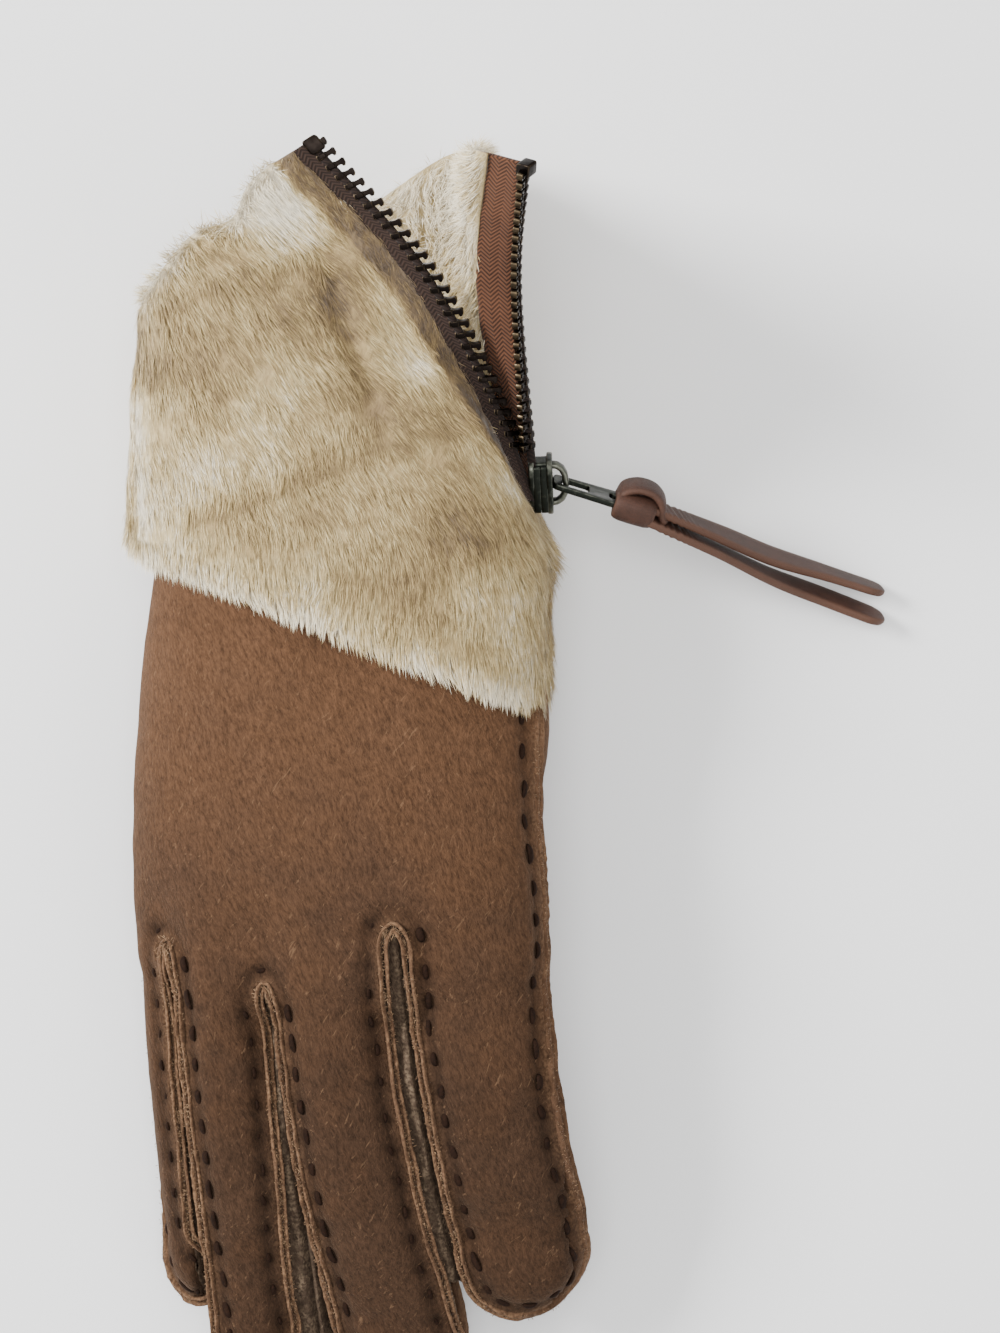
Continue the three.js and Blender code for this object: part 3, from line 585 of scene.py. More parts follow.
def make_mesh(name: str, points: Array, faces: Sequence[Array], marks: Marks | None = None) -> Piece:
    """A smooth mesh object with its place in its mesh.

    Args:
        name: the piece's name.
        points: its points in millimetres.
        faces: arrays of point numbers, each array with faces of one size.
        marks: values for each point, kept as attributes; one number or three each.

    Returns:
        The new object.
    """
    mesh = bpy.data.meshes.new(name)
    mesh.vertices.add(len(points))
    mesh.vertices.foreach_set("co", (points * MM).astype(np.float32).ravel())
    faces = [np.asarray(part, np.int32) for part in faces if len(part)]
    flat = np.concatenate([part.ravel() for part in faces] or [np.zeros(0, np.int32)])
    sizes = np.concatenate([np.full(len(part), part.shape[1], np.int32) for part in faces] or [flat])
    mesh.loops.add(len(flat))
    mesh.loops.foreach_set("vertex_index", flat)
    mesh.polygons.add(len(sizes))
    mesh.polygons.foreach_set("loop_start", (np.cumsum(sizes) - sizes).astype(np.int32))
    mesh.polygons.foreach_set("use_smooth", np.ones(len(sizes), bool))
    mesh.update(calc_edges=True)
    for key, values in (marks or {}).items():
        kind, slot = ("FLOAT_VECTOR", "vector") if values.ndim == 2 else ("FLOAT", "value")
        mesh.attributes.new(key, kind, "POINT").data.foreach_set(slot, values.astype(np.float32).ravel())
    return linked(name, mesh)


def grid_faces(rows: int, columns: int, ring: bool = False) -> Array:
    """Quads between neighbouring points of a grid that is stored row by row.

    Args:
        rows: how many rows.
        columns: how many points in a row.
        ring: whether each row closes on itself.

    Returns:
        An array of four point numbers for each quad.
    """
    i, j = np.meshgrid(np.arange(columns if ring else columns - 1), np.arange(rows - 1))
    i, j = i.ravel(), j.ravel() * columns
    right = (i + 1) % columns
    return np.stack([j + i, j + right, j + columns + right, j + columns + i], axis=1)


def wrap(outer: Array, inner: Array) -> tuple[Array, Array]:
    """A closed sheet between two grids of points.

    Args:
        outer: rows × columns × 3 points of the face that is seen from outside.
        inner: the same grid of the other face.

    Returns:
        The sheet's points and its quads.
    """
    rows, columns = outer.shape[:2]
    count = rows * columns
    front = grid_faces(rows, columns)
    number = np.arange(count).reshape(rows, columns)
    rim = np.concatenate([number[0, :-1], number[:-1, -1], number[-1, :0:-1], number[:0:-1, 0]])
    after = np.roll(rim, -1)
    side = np.stack([after, rim, rim + count, after + count], axis=1)
    points = np.vstack([outer.reshape(-1, 3), inner.reshape(-1, 3)])
    return points, np.vstack([front, front[:, ::-1] + count, side])


def sweep(path: Array, across: Array, up: Array, outline: Array) -> tuple[Array, Array, Array]:
    """A bar with one outline all along a path, or one outline for each of its points, with closed ends.

    Args:
        path: the points that it follows.
        across: the outline's first direction at each point.
        up: its second direction at each point.
        outline: corners × 2, or points × corners × 2, anticlockwise seen against the path.

    Returns:
        The bar's points, its quads, and its two end faces as one array.
    """
    outline = np.broadcast_to(outline, (len(path), *outline.shape[-2:]))
    rings = path[:, None] + outline[..., :1] * across[:, None] + outline[..., 1:] * up[:, None]
    sides = outline.shape[1]
    ends = np.array([np.arange(sides)[::-1], np.arange(sides) + (len(path) - 1) * sides])
    return rings.reshape(-1, 3), grid_faces(len(path), sides, ring=True), ends


def joined(name: str, parts: Sequence[Part]) -> Piece:
    """One mesh object from several meshes.

    Args:
        name: the piece's name.
        parts: points, face arrays and marks of each.

    Returns:
        The new object.
    """
    start, faces = 0, []
    for points, part_faces, _ in parts:
        faces += [np.asarray(part) + start for part in part_faces]
        start += len(points)
    marks = {key: np.concatenate([part[2][key] for part in parts]) for key in parts[0][2]}
    return make_mesh(name, np.vstack([part[0] for part in parts]), faces, marks)


def turned_out(piece: Piece) -> Piece:
    """The closed piece with its faces turned outwards."""
    work = bmesh.new()
    work.from_mesh(piece.data)
    bmesh.ops.remove_doubles(work, verts=work.verts, dist=1e-7)
    bmesh.ops.recalc_face_normals(work, faces=work.faces)
    work.to_mesh(piece.data)
    work.free()
    return piece


def path_frames(path: Array, normal: Array) -> tuple[Array, Array, Array]:
    """Along, aside and up directions at each point of a path, all square to each other."""
    along = unit(np.gradient(path, axis=0))
    aside = unit(np.cross(normal, along))
    return along, aside, np.cross(along, aside)


class Nodes:
    """Adds nodes to a tree and links them."""

    def __init__(self, tree: bpy.types.NodeTree) -> None:
        """Keeps the tree."""
        self.tree = tree

    def put(self, value: object, socket: Socket) -> None:
        """Gives an input a value, or the output that feeds it."""
        if isinstance(value, Socket):
            self.tree.links.new(value, socket)
        else:
            socket.default_value = value

    def add(self, kind: str, inputs: dict[str | int, object] | None = None,
            **settings: object) -> bpy.types.Node:
        """A new node.

        Args:
            kind: its type's name in Blender.
            inputs: for an input's name or number, the value it has or the socket that feeds it.
            settings: its own properties.

        Returns:
            The node.
        """
        node = self.tree.nodes.new(kind)
        for key, value in settings.items():
            setattr(node, key, value)
        for key, value in (inputs or {}).items():
            self.put(value, node.inputs[key])
        return node

    def math(self, operation: str, *values: object) -> Socket:
        """The result of a Math node."""
        return self.add("ShaderNodeMath", dict(enumerate(values)), operation=operation).outputs[0]

    def vector(self, operation: str, *values: object) -> Socket:
        """The vector result of a Vector Math node."""
        return self.add("ShaderNodeVectorMath", dict(enumerate(values)), operation=operation).outputs[0]

    def scaled(self, vector: object, scale: object) -> Socket:
        """A vector times a number."""
        return self.add("ShaderNodeVectorMath", {0: vector, "Scale": scale}, operation="SCALE").outputs[0]

    def xyz(self, x: object, y: object, z: object) -> Socket:
        """A vector of three numbers."""
        return self.add("ShaderNodeCombineXYZ", {0: x, 1: y, 2: z}).outputs[0]

    def spread(self, value: object, low: float, high: float, to_low: float = 0.0,
               to_high: float = 1.0) -> Socket:
        """A value taken from one range to another, held at the ends."""
        inputs = {"Value": value, "From Min": low, "From Max": high, "To Min": to_low, "To Max": to_high}
        return self.add("ShaderNodeMapRange", inputs).outputs[0]

    def mix(self, share: object, first: object, second: object, kind: str = "MIX") -> Socket:
        """Two colours mixed."""
        inputs = {0: share, 6: first, 7: second}
        return self.add("ShaderNodeMix", inputs, data_type="RGBA", blend_type=kind).outputs[2]

    def dimmed(self, colour: Socket, share: Socket) -> Socket:
        """A colour times a number."""
        return self.mix(1.0, colour, self.xyz(share, share, share), "MULTIPLY")

    def blend(self, first: Socket, second: Socket, share: float) -> Socket:
        """So much of the first number, and the rest of the second."""
        rest = round(1 - share, 6)
        return self.math("ADD", self.math("MULTIPLY", first, share), self.math("MULTIPLY", second, rest))

    def noise(self, where: Socket, scale: object, detail: float, roughness: float = 0.5) -> bpy.types.Node:
        """A noise texture."""
        inputs = {"Vector": where, "Scale": scale, "Detail": detail, "Roughness": roughness}
        return self.add("ShaderNodeTexNoise", inputs)

    def shifts(self, where: Socket, scale: float, detail: float, reach: object) -> Socket:
        """Smooth random shifts of up to half the reach either way."""
        colour = self.noise(where, scale, detail).outputs["Color"]
        return self.scaled(self.vector("SUBTRACT", colour, (0.5, 0.5, 0.5)), reach)

    def on_object(self) -> Socket:
        """Where a shaded point is on the object."""
        return self.add("ShaderNodeTexCoord").outputs["Object"]

    def carried(self, name: str, kind: str = "FLOAT") -> Socket:
        """A value that the points of a geometry tree carry."""
        return self.add("GeometryNodeInputNamedAttribute", {"Name": name},
                        data_type=kind).outputs["Attribute"]

    def random(self, low: object, high: object, seed: int, kind: str = "FLOAT") -> Socket:
        """A random value for each point."""
        node = self.add("FunctionNodeRandomValue", {"Min": low, "Max": high, "Seed": seed}, data_type=kind)
        return node.outputs["Value"]

    def copies(self, points: Socket, shape: Socket, up: Socket, along: Socket, size: Socket,
               finish: Socket) -> Socket:
        """One real copy of an object at each point.

        Args:
            points: the places.
            shape: the object.
            up: the way its Z points.
            along: the way its X points.
            size: its scale.
            finish: its material.

        Returns:
            The copies as one mesh.
        """
        turn = self.add("FunctionNodeAxesToRotation", {"Primary Axis": up, "Secondary Axis": along},
                        primary_axis="Z", secondary_axis="X").outputs[0]
        shape = self.add("GeometryNodeObjectInfo", {"Object": shape}).outputs["Geometry"]
        inputs = {"Points": points, "Instance": shape, "Rotation": turn, "Scale": size}
        each = self.add("GeometryNodeInstanceOnPoints", inputs).outputs[0]
        real = self.add("GeometryNodeRealizeInstances", {"Geometry": each}).outputs[0]
        return self.add("GeometryNodeSetMaterial", {"Geometry": real, "Material": finish}).outputs[0]


def new_tree(name: str, kind: str, inputs: dict[str, tuple[str, object]], outputs: dict[str, str]) -> tuple:
    """A node group with named inputs and outputs.

    Args:
        name: the group's name.
        kind: Geometry or Shader.
        inputs: socket type and default value for each input's name; a default of None is left alone.
        outputs: socket type for each output's name.

    Returns:
        The group's node adder, the sockets that its inputs come from and those that its outputs go to.
    """
    tree = bpy.data.node_groups.new(name, f"{kind}NodeTree")
    for label, (socket, value) in inputs.items():
        made = tree.interface.new_socket(name=label, in_out="INPUT", socket_type=f"NodeSocket{socket}")
        if value is not None:
            made.default_value = value
    for label, socket in outputs.items():
        tree.interface.new_socket(name=label, in_out="OUTPUT", socket_type=f"NodeSocket{socket}")
    nodes = Nodes(tree)
    return nodes, nodes.add("NodeGroupInput").outputs, nodes.add("NodeGroupOutput").inputs


def grown(piece: Piece, nodes: Nodes, values: dict[str, object]) -> Piece:
    """Runs a geometry tree on the piece and keeps its result as the piece's plain mesh.

    Args:
        piece: the object that the tree works on.
        nodes: the tree.
        values: a value for each named input.

    Returns:
        The same object with its new mesh.
    """
    modifier = piece.modifiers.new("Grow", "NODES")
    modifier.node_group = nodes.tree
    sockets = {item.name: item.identifier
               for item in nodes.tree.interface.items_tree if item.in_out == "INPUT"}
    for label, value in values.items():
        modifier[sockets[label]] = value
    bpy.context.view_layer.update()
    ready = piece.evaluated_get(bpy.context.evaluated_depsgraph_get())
    mesh = bpy.data.meshes.new_from_object(ready)
    piece.modifiers.remove(modifier)
    piece.data = mesh
    mesh.name = piece.name
    return piece


def row_tree() -> Nodes:
    """A geometry tree that sets one piece at each point, turned along the point's own directions."""
    nodes, given, result = new_tree("Row of pieces", "Geometry", {
        "Geometry": ("Geometry", None), "Piece": ("Object", None), "Finish": ("Material", None),
    }, {"Geometry": "Geometry"})
    points = nodes.add("GeometryNodeMeshToPoints", {"Mesh": given["Geometry"]}).outputs[0]
    up, along, size = (nodes.carried(key, "FLOAT_VECTOR") for key in ("up", "along", "size"))
    nodes.put(nodes.copies(points, given["Piece"], up, along, size, given["Finish"]), result[0])
    return nodes


@dataclass
class Row:
    """Copies of one small shape along a path, made by the geometry tree."""

    tree: Nodes = field(default_factory=row_tree)

    def set_out(self, name: str, shape: Piece, at: Array, along: Array, up: Array,
                finish: Finish, size: Array | None = None) -> Piece:
        """Sets the shape at each point.

        Args:
            name: the new piece's name.
            shape: one copy at the origin, X along the row and Z up; it is removed afterwards.
            at: the places in millimetres.
            along: the shape's X direction at each place.
            up: its Z direction at each place.
            finish: the material.
            size: scales in the shape's own directions at each place.

        Returns:
            The row as one plain mesh.
        """
        size = np.ones(at.shape) if size is None else size
        piece = make_mesh(name, at, [], {"along": along, "up": up, "size": size})
        grown(piece, self.tree, {"Piece": shape, "Finish": finish})
        bpy.data.objects.remove(shape)
        piece.data.polygons.foreach_set("use_smooth", np.ones(len(piece.data.polygons), bool))
        return piece


@dataclass
class SeamLine:
    """A seam on the skin: its points, and the directions along it, aside into the panel, and up."""

    path: Array
    along: Array
    aside: Array
    up: Array

    @classmethod
    def on_skin(cls, guide: Sequence[Array], lift: float) -> SeamLine:
        """The seam that follows a rough guide.

        Args:
            guide: points near the skin in millimetres.
            lift: how much the seam's edges lean up from square to the skin, five times as much in a slit.

        Returns:
            The seam.
        """
        path = settle(skin_field, smooth_path(guide, SEAM_STEP), 4)
        for _ in range(3):
            path[1:-1] = (path[:-2] + 2 * path[1:-1] + path[2:]) / 4
        path = settle(skin_field, respaced(path, SEAM_STEP), 2)
        lean = np.full(len(path), lift)
        for slit in SLITS:
            across = slit.local(*path.T)[0]
            lean += 4 * lift * np.exp(-(across / 8) ** 4) * (path[:, 1] < slit.top + 3)
        normal = unit(slope_of(skin_field, path, 0.6) + lean[:, None] * np.array([0, 0, 1.0]))
        for _ in range(14):
            normal[1:-1] = unit(normal[:-2] + 2 * normal[1:-1] + normal[2:])
        return cls(path, *path_frames(path, normal))

    def stitches(self, inset: float, pitch: float) -> tuple[Array, Array, Array, Array]:
        """Places of stitches beside the seam.

        Args:
            inset: how far aside of the seam they lie.
            pitch: their spacing.

        Returns:
            Their places, their directions along, their directions up, and the seam points they belong to.
        """
        line = settle(skin_field, self.path + self.aside * inset, 4)
        run = run_along(self.path)
        keep = np.searchsorted(run, np.arange(pitch / 2, run[-1], pitch))
        along = unit(np.gradient(line, axis=0))[keep]
        up = unit(slope_of(skin_field, line[keep], 0.5))
        return line[keep], along, up, keep


def first_hit(shape: Field, start: Array, way: Array, reach: float) -> Array:
    """Where a ray from each start first meets a shape, or its end where it never does."""
    runs = np.arange(0, reach, RAY_STEP)
    points = start[:, None] + runs[None, :, None] * way[:, None]
    hit = shape(points[..., 0], points[..., 1], points[..., 2]) < 0
    first = np.where(hit.any(axis=1), hit.argmax(axis=1), len(runs) - 1)
    return points[np.arange(len(start)), first]


@dataclass
class SuedeHand:
    """The hand of the glove: back, palm, three gussets between the fingers, the thumb, and their seams."""

    step: float = 1.15
    palm_step: float = 1.4
    gusset_step: float = 0.75
    stitch_inset: float = 3.4
    stitch_pitch: float = 6.8
    stitch_long: float = 3.7
    stitch_wide: float = 1.5
    lip_rise: float = 1.55
    lip_root: float = 1.2
    lip_lower: float = 0.15
    lip_aside: float = 0.48
    lip_lean: float = 0.28
    layer: float = 0.8
    guide_start: float = 3.0
    palm_start: float = 4.0
    guide_step: float = 6.0
    ridge_high: float = 0.4
    ridge_wide: float = 1.5
    trough_deep: float = 0.38
    trough_wide: float = 1.4
    dimple_deep: float = 0.45
    dimple_wide: float = 2.0
    fold_ends: tuple[tuple[float, float], ...] = ((-125, 0.8), (-148, 0.6), (-131, 0.75))
    fold_drop: float = 4.0
    fold_wave: float = 0.45
    fold_thick: float = 1.0
    crease_deep: float = 2.2
    crease_at: float = 0.78
    crease_wide: float = 0.07
    clear: float = 0.05
    stitch_sink: float = 0.62
    outer_side: tuple[float, float] = (36.5, 39.5)
    faces: dict[str, tuple[Array, Array]] = field(default_factory=dict)
    outseam: SeamLine | None = None
    palm_seams: list[SeamLine] = field(default_factory=list)

    def hem(self, x: Array, y: Array) -> Array:
        """Distance past the tucked end of the suede, inside the cuff."""
        return (y - HEM_Y - TUCK - HEM_SLOPE * x) / math.hypot(1, HEM_SLOPE)

    def wall(self, x: Array, y: Array, z: Array) -> Array:
        """The suede's whole wall, hollow inside and open at the wrist."""
        return np.maximum(np.maximum(skin_field(x, y, z), -cavity_field(x, y, z)), self.hem(x, y))

    def thumb_wall(self, x: Array, y: Array, z: Array) -> Array:
        """The thumb's tube, flat on the floor and open into the palm."""
        hollow = np.maximum(THUMB.distance(x, y, z, WALL), WALL - z)
        return np.maximum(np.maximum(thumb_field(x, y, z), -hollow), -skin_field(x, y, z) - 1.2)

    def panel_field(self, key: str, x: Array, y: Array, z: Array) -> Array:
        """Distance outside the back panel or the palm panel."""
        rest = self.wall(x, y, z)
        for slit in SLITS:
            rest = np.maximum(rest, SEAM_GAP - GUSSET.region(slit, x, y, z))
        seam = z - seam_height(x, y)
        if key == "back":
            return np.maximum(rest, SEAM_GAP - seam)
        hole = THUMB_GAP - np.maximum(THUMB.distance(x, y, z), z - 20)
        return np.maximum(rest, np.maximum(seam + SEAM_GAP, hole))

    def gusset_field(self, slit: Slit, x: Array, y: Array, z: Array) -> Array:
        """Distance outside the gusset at a slit."""
        return np.maximum(self.wall(x, y, z), GUSSET.region(slit, x, y, z) + SEAM_GAP)

    def cut_panels(self) -> None:
        """Finds the surfaces of the back, the palm, the gussets and the thumb."""
        hand = ((-50, -164, -1.5), (54, 43, 47))
        cuts = [("back", Block(*hand, self.step), partial(self.panel_field, "back")),
                ("palm", Block(*hand, self.palm_step), partial(self.panel_field, "palm"))]
        boxes = (((-41, -152, 0), (-16, -52, 32)), ((-24, -152, 5), (2, -60, 38)),
                 ((4, -156, 3), (34, -47, 45)))
        for number, (slit, box) in enumerate(zip(SLITS, boxes), 1):
            shape = partial(self.gusset_field, slit)
            cuts.append((f"gusset_{number}", Block(*box, self.gusset_step), shape))
        cuts.append(("thumb", Block((6, -98, -1.5), (47, 4, 36), self.step), self.thumb_wall))
        for key, block, shape in cuts:
            self.faces[key] = block.surface(block.sample(shape))

    def side_guide(self, side: int, ys: Array) -> Array:
        """Points on the left (-1) or right (1) silhouette at the height of the outseam."""
        far = np.full(len(ys), 62.0 * side)
        start = np.stack([far, ys, seam_height(np.full(len(ys), 48.0 * side), ys)], axis=1)
        return first_hit(skin_field, start, np.tile([-side, 0.0, 0.0], (len(ys), 1)), 60)

    def lip_guide(self, slit: Slit, side: int, ys: Array, face: int = 1,
                  wide: float | None = None) -> Array:
        """Points on one lip of a slit, on the back (face 1) or on the palm (face -1)."""
        across = side * (slit.lip(ys) if wide is None else np.full(len(ys), wide))
        top = slit.point(across, ys, np.full(len(ys), 26.0 * face))
        way = slit.point(across, ys, np.full(len(ys), 25.0 * face)) - top
        return first_hit(skin_field, top, way, 34)

    def held(self, points: Array, finger: Form, face: int = 1) -> Array:
        """The points, kept to the upper quarter of the finger's height, or to the lower one for face -1."""
        middle, half = (np.array([float(finger.table.at(key, y)) for y in points[:, 1]]) for key in "zb")
        points[:, 2] = face * np.maximum(face * points[:, 2], face * middle + 0.5 * half)
        return points

    def tip_guide(self, number: int, left: float, right: float) -> Array:
        """Points round a fingertip, from its left side to its right, held beside the slits.

        Args:
            number: the finger's number.
            left: how far up the left end is, in half heights of the finger.
            right: the same for the right end.
        """
        finger = FINGERS[number]
        end = finger.table.end
        x, z, a, b = (float(finger.table.at(key, end)) for key in "xzab")
        angle = np.radians([24, 50, 75, 100, 127, 154])
        high = np.interp(np.degrees(angle), [24, 90, 154], [left, 0.15, right])
        narrow = 1 - 0.16 * np.abs(high)
        across, out = a * narrow * np.cos(angle), finger.dome * narrow * np.sin(angle)
        points = np.stack([x - across, end - out, z + b * high], axis=1)
        for slit, side in ((number - 1, 1), (number, -1)):
            if 0 <= slit < len(SLITS):
                across, up = SLITS[slit].local(*points.T)
                lip = SLITS[slit].lip(points[:, 1])
                held = np.maximum(across, lip) if side > 0 else np.minimum(across, -lip)
                points = SLITS[slit].point(held, points[:, 1], up)
        return points

    def lay_seams(self) -> None:
        """Lays the seam round the back panel, and the seams between palm and gussets."""
        parts = [self.side_guide(-1, np.arange(22.0, -112, -7))]
        for number, finger in enumerate(FINGERS):
            left = 0.0 if number == 0 else 0.55
            right = 0.0 if number == 3 else 0.55
            parts.append(self.tip_guide(number, left, right))
            if number < len(SLITS):
                slit, after = SLITS[number], FINGERS[number + 1]
                down = np.arange(slit.top - self.guide_start, finger.table.end - 1, -self.guide_step)
                parts.append(self.held(self.lip_guide(slit, -1, down), finger)[::-1])
                parts.append(self.lip_guide(slit, 0, np.array([slit.top + 0.3])))
                down = np.arange(slit.top - self.guide_start, after.table.end - 1, -self.guide_step)
                parts.append(self.held(self.lip_guide(slit, 1, down), after))
        parts.append(self.side_guide(1, np.arange(-104.0, -3, 7)))
        self.outseam = SeamLine.on_skin(np.vstack(parts), 0.25)
        for number, slit in enumerate(SLITS):
            sides = []
            for side, finger in ((-1, FINGERS[number]), (1, FINGERS[number + 1])):
                down = np.arange(slit.top - self.palm_start, finger.table.end, -self.guide_step)
                sides.append(self.held(self.lip_guide(slit, side, down, -1, slit.slot + 1.4), finger, -1))
            bend = self.lip_guide(slit, 0, np.array([slit.top + 1.3]), -1)
            self.palm_seams.append(SeamLine.on_skin(np.vstack([sides[0][::-1], bend, sides[1]]), -0.3))

    def lips(self, name: str, seams: Sequence[SeamLine], finish: Finish) -> Piece:
        """The raised edges of the two layers that each seam joins, with rough cut tops.

        Args:
            name: the piece's name.
            seams: the seams.
            finish: its material.

        Returns:
            The piece.
        """
        half = np.array([(0.5, -1), (0.5, 0.2), (0.47, 0.75), (0.2, 1)])
        outline = np.vstack([half, half[::-1] * (-1, 1)])
        parts = []
        for seam in seams:
            for side in (-1, 1):
                path = seam.path + seam.aside * side * self.lip_aside
                rough = NOISE.at(path + side * 40, 1.1) * 0.3 + NOISE.at(path + side * 90, 4.5) * 0.3
                outer = smoothstep(*self.outer_side, np.abs(path[:, 0]))
                wave = NOISE.at(path + side * 140, 5.0) * 0.3 - 1.1 * outer
                shape = np.tile(outline[None], (len(path), 1, 1))
                low, high = shape[..., 1] < 0, shape[..., 1] >= 0
                rise = ((self.lip_rise - (self.lip_lower if side < 0 else 0) + rough)
                        * (1 - 0.35 * outer))[:, None]
                count = np.arange(len(path))
                taper = np.clip(np.minimum(count, count[::-1]) / 5, 0.15, 1)[:, None]
                thick = self.layer * (1 + NOISE.at(path + side * 210, 1.6) * 0.18)[:, None]
                shape[..., 0] *= thick
                tall = np.where(low, self.lip_root, rise * taper)
                shape[..., 0] += np.where(high, shape[..., 1] * (self.lip_lean * side + wave[:, None]), 0)
                top = np.clip(shape[..., 1], 0, 1)
                shape[..., 1] *= tall
                points, faces, ends = sweep(path, seam.aside, seam.up, shape)
                keep_above(points, 0.1)
                rub = (top * (0.6 + 0.5 * NOISE.at(path, 3.0) - 0.4 * outer)[:, None]).clip(0, 1).ravel()
                parts.append((points, [faces, ends], {"rub": rub, "press": np.zeros(len(points))}))
        return finished(turned_out(joined(name, parts)), finish)

    def panel(self, name: str, key: str, shape: Field, lines: Sequence[SeamLine], spots: Array,
              finishes: Sequence[Finish]) -> Piece:
        """One panel, sunk in along its stitching and drawn up at its seams, with painted shade in the sunk
        places.

        Args:
            name: the piece's name.
            key: which of the cut surfaces it is.
            shape: the field of its outer surface.
            lines: the seams on it.
            spots: places of the stitches.
            finishes: the materials of its outer and inner faces.

        Returns:
            The piece.
        """
        points, faces = self.faces[key]
        depth = shape(*points.T)
        outer = depth > -0.55
        skin = settle(shape, points[outer], 2, 0.4)
        slope = unit(slope_of(shape, skin, 0.4))
        near = np.minimum.reduce([np.full(len(skin), FAR), *(nearest(line.path, skin) for line in lines)])
        hole = nearest(spots, skin)
        ridge = faded(near, self.ridge_wide)
        trough = faded(near - self.stitch_inset, self.trough_wide)
        dimple = faded(hole, self.dimple_wide)
        lumps = 0.28 * NOISE.at(skin, 15) + 0.16 * NOISE.at(skin + 50, 6) + 0.06 * NOISE.at(skin + 90, 2.6)
        move = lumps + self.ridge_high * ridge - self.trough_deep * trough - self.dimple_deep * dimple
        skin = skin + slope * move[:, None]
        keep_above(skin, self.clear)
        points = points.copy()
        points[outer] = skin
        marks = {"rub": np.zeros(len(points)), "press": np.zeros(len(points))}
        marks["rub"][outer] = 0.6 * ridge * (0.7 + 0.5 * NOISE.at(skin, 2.5))
        # Painted shade: the troughs beside the stitching and the dimples at the stitches are darkened in
        # colour.
        marks["press"][outer] = np.clip(0.55 * trough + 0.6 * dimple, 0, 1)
        piece = finished(make_mesh(name, points, [faces], marks), *finishes)
        inside = (depth < -1.4)[faces].all(axis=1)
        piece.data.polygons.foreach_set("material_index", inside.astype(np.int32))
        return piece

    def fold(self, number: int) -> Part:
        """The gusset's folded edge between the lips of a slit, with a deep crease beside its right lip,
        darkened with painted shade.

        Args:
            number: the slit's number.

        Returns:
            The fold's points, its quads and its marks.
        """
        slit = SLITS[number]
        ys = np.arange(slit.top - 0.6, self.fold_ends[number][0], -0.8)
        beside = ((-1, FINGERS[number]), (1, FINGERS[number + 1]))
        left, right = (self.held(self.lip_guide(slit, side, ys), finger) for side, finger in beside)
        share = np.interp(-ys, (-slit.top, 110, -self.fold_ends[number][0]),
                          (0.97, 0.9, self.fold_ends[number][1]))
        t = np.linspace(0.02, 0.97, 17)[None] + 0 * share[:, None]
        points = left[:, None] + (right - left)[:, None] * t[..., None]
        none = np.zeros(len(ys))
        down = slit.point(none, ys, none) - slit.point(none, ys, none + 1)
        crease = self.crease_deep * faded(t - self.crease_at * share[:, None], self.crease_wide)
        crease += self.fold_drop * smoothstep(0, 0.12, t - share[:, None])
        ridge = self.fold_wave * np.sin(t / share[:, None] * 9 + 2 * NOISE.at(points, 9))
        deep = 1.0 + crease + ridge * 0.6 + 0.3 * NOISE.at(points + 20, 1.6) + 0.35 * NOISE.at(points, 5)
        outer = points + down[:, None] * deep[..., None]
        inner = outer + down[:, None] * self.fold_thick
        keep_above(outer, 1.2)
        keep_above(inner, 0.3)
        points, faces = wrap(outer, inner)
        hollow = np.tile(ridge.ravel(), 2) < 0
        pale = (0.45 + 0.6 * NOISE.at(points, 1.0)).clip(0, 0.9) * (0.4 + 0.6 * hollow)
        # Painted shade: dark in the crease and where the fold drops away beyond it.
        shaded = np.tile((crease / self.crease_deep).clip(0, 1).ravel(), 2)
        return points, [faces[:, ::-1]], {"rub": pale, "press": shaded}

    def stitch(self) -> Piece:
        """One stitch of waxed thread that dips into the suede at both ends, X along it and Z up."""
        half, wide = self.stitch_long / 2, self.stitch_wide / 2
        runs = np.linspace(-1, 1, 9)
        path = np.stack([runs * half, 0.05 * np.sin(runs * 3), 0.34 - 0.75 * np.abs(runs) ** 3], axis=1)
        angles = np.radians(np.arange(0, 360, 45))
        outline = np.stack([np.cos(angles), 0.62 * np.sin(angles)], axis=1) * wide
        taper = (1 - 0.45 * np.abs(runs) ** 3)[:, None, None]
        _, aside, up = path_frames(path, np.tile([0, 0, 1.0], (len(path), 1)))
        points, faces, ends = sweep(path, aside, up, outline[None] * taper)
        return turned_out(make_mesh("stitch", points, [faces, ends]))

    def build(self, looks: Looks, row: Row, pile: Pile) -> None:
        """Builds and dresses the whole hand.

        Args:
            looks: the materials.
            row: sets stitches along lines.
            pile: grows the fibres of frayed edges.
        """
        self.cut_panels()
        self.lay_seams()
        at, along, up, keep = self.outseam.stitches(self.stitch_inset, self.stitch_pitch)
        LOG.info("outseam %.0f mm with %d stitches", SEAM_STEP * len(self.outseam.path), len(at))
        faces, seams = (looks.suede, looks.lining), [self.outseam, *self.palm_seams]
        back = self.panel("back_suede", "back", skin_field, seams[:1], at, faces)
        palm = self.panel("palm_suede", "palm", skin_field, seams, at[:0], faces)
        place(back, GLOVE, Slot.SUEDE, "back_panel")
        place(palm, GLOVE, Slot.SUEDE, "palm_panel")
        for number in range(1, 4):
            key = f"gusset_{number}"
            points, faces = self.faces[key]
            top = skin_field(*points.T) > -0.6
            points = points.copy()
            sink = 0.75 + 0.3 * NOISE.at(points[top], 2.2)
            points[top] -= unit(slope_of(skin_field, points[top], 0.4)) * sink[:, None]
            keep_above(points, self.clear)
            marks = {"rub": 0.35 * top * (0.6 + NOISE.at(points, 1.2)).clip(0, 1),
                     "press": np.zeros(len(points))}
            piece = joined(f"finger_{key}", [(points, [faces], marks), self.fold(number - 1)])
            place(finished(piece, looks.gusset), GLOVE, Slot.GUSSET, f"fourchette_{number}")
        thumb = self.panel("thumb_suede", "thumb", thumb_field, [], at[:0], (looks.suede, looks.lining))
        place(thumb, GLOVE, Slot.SUEDE, "thumb")
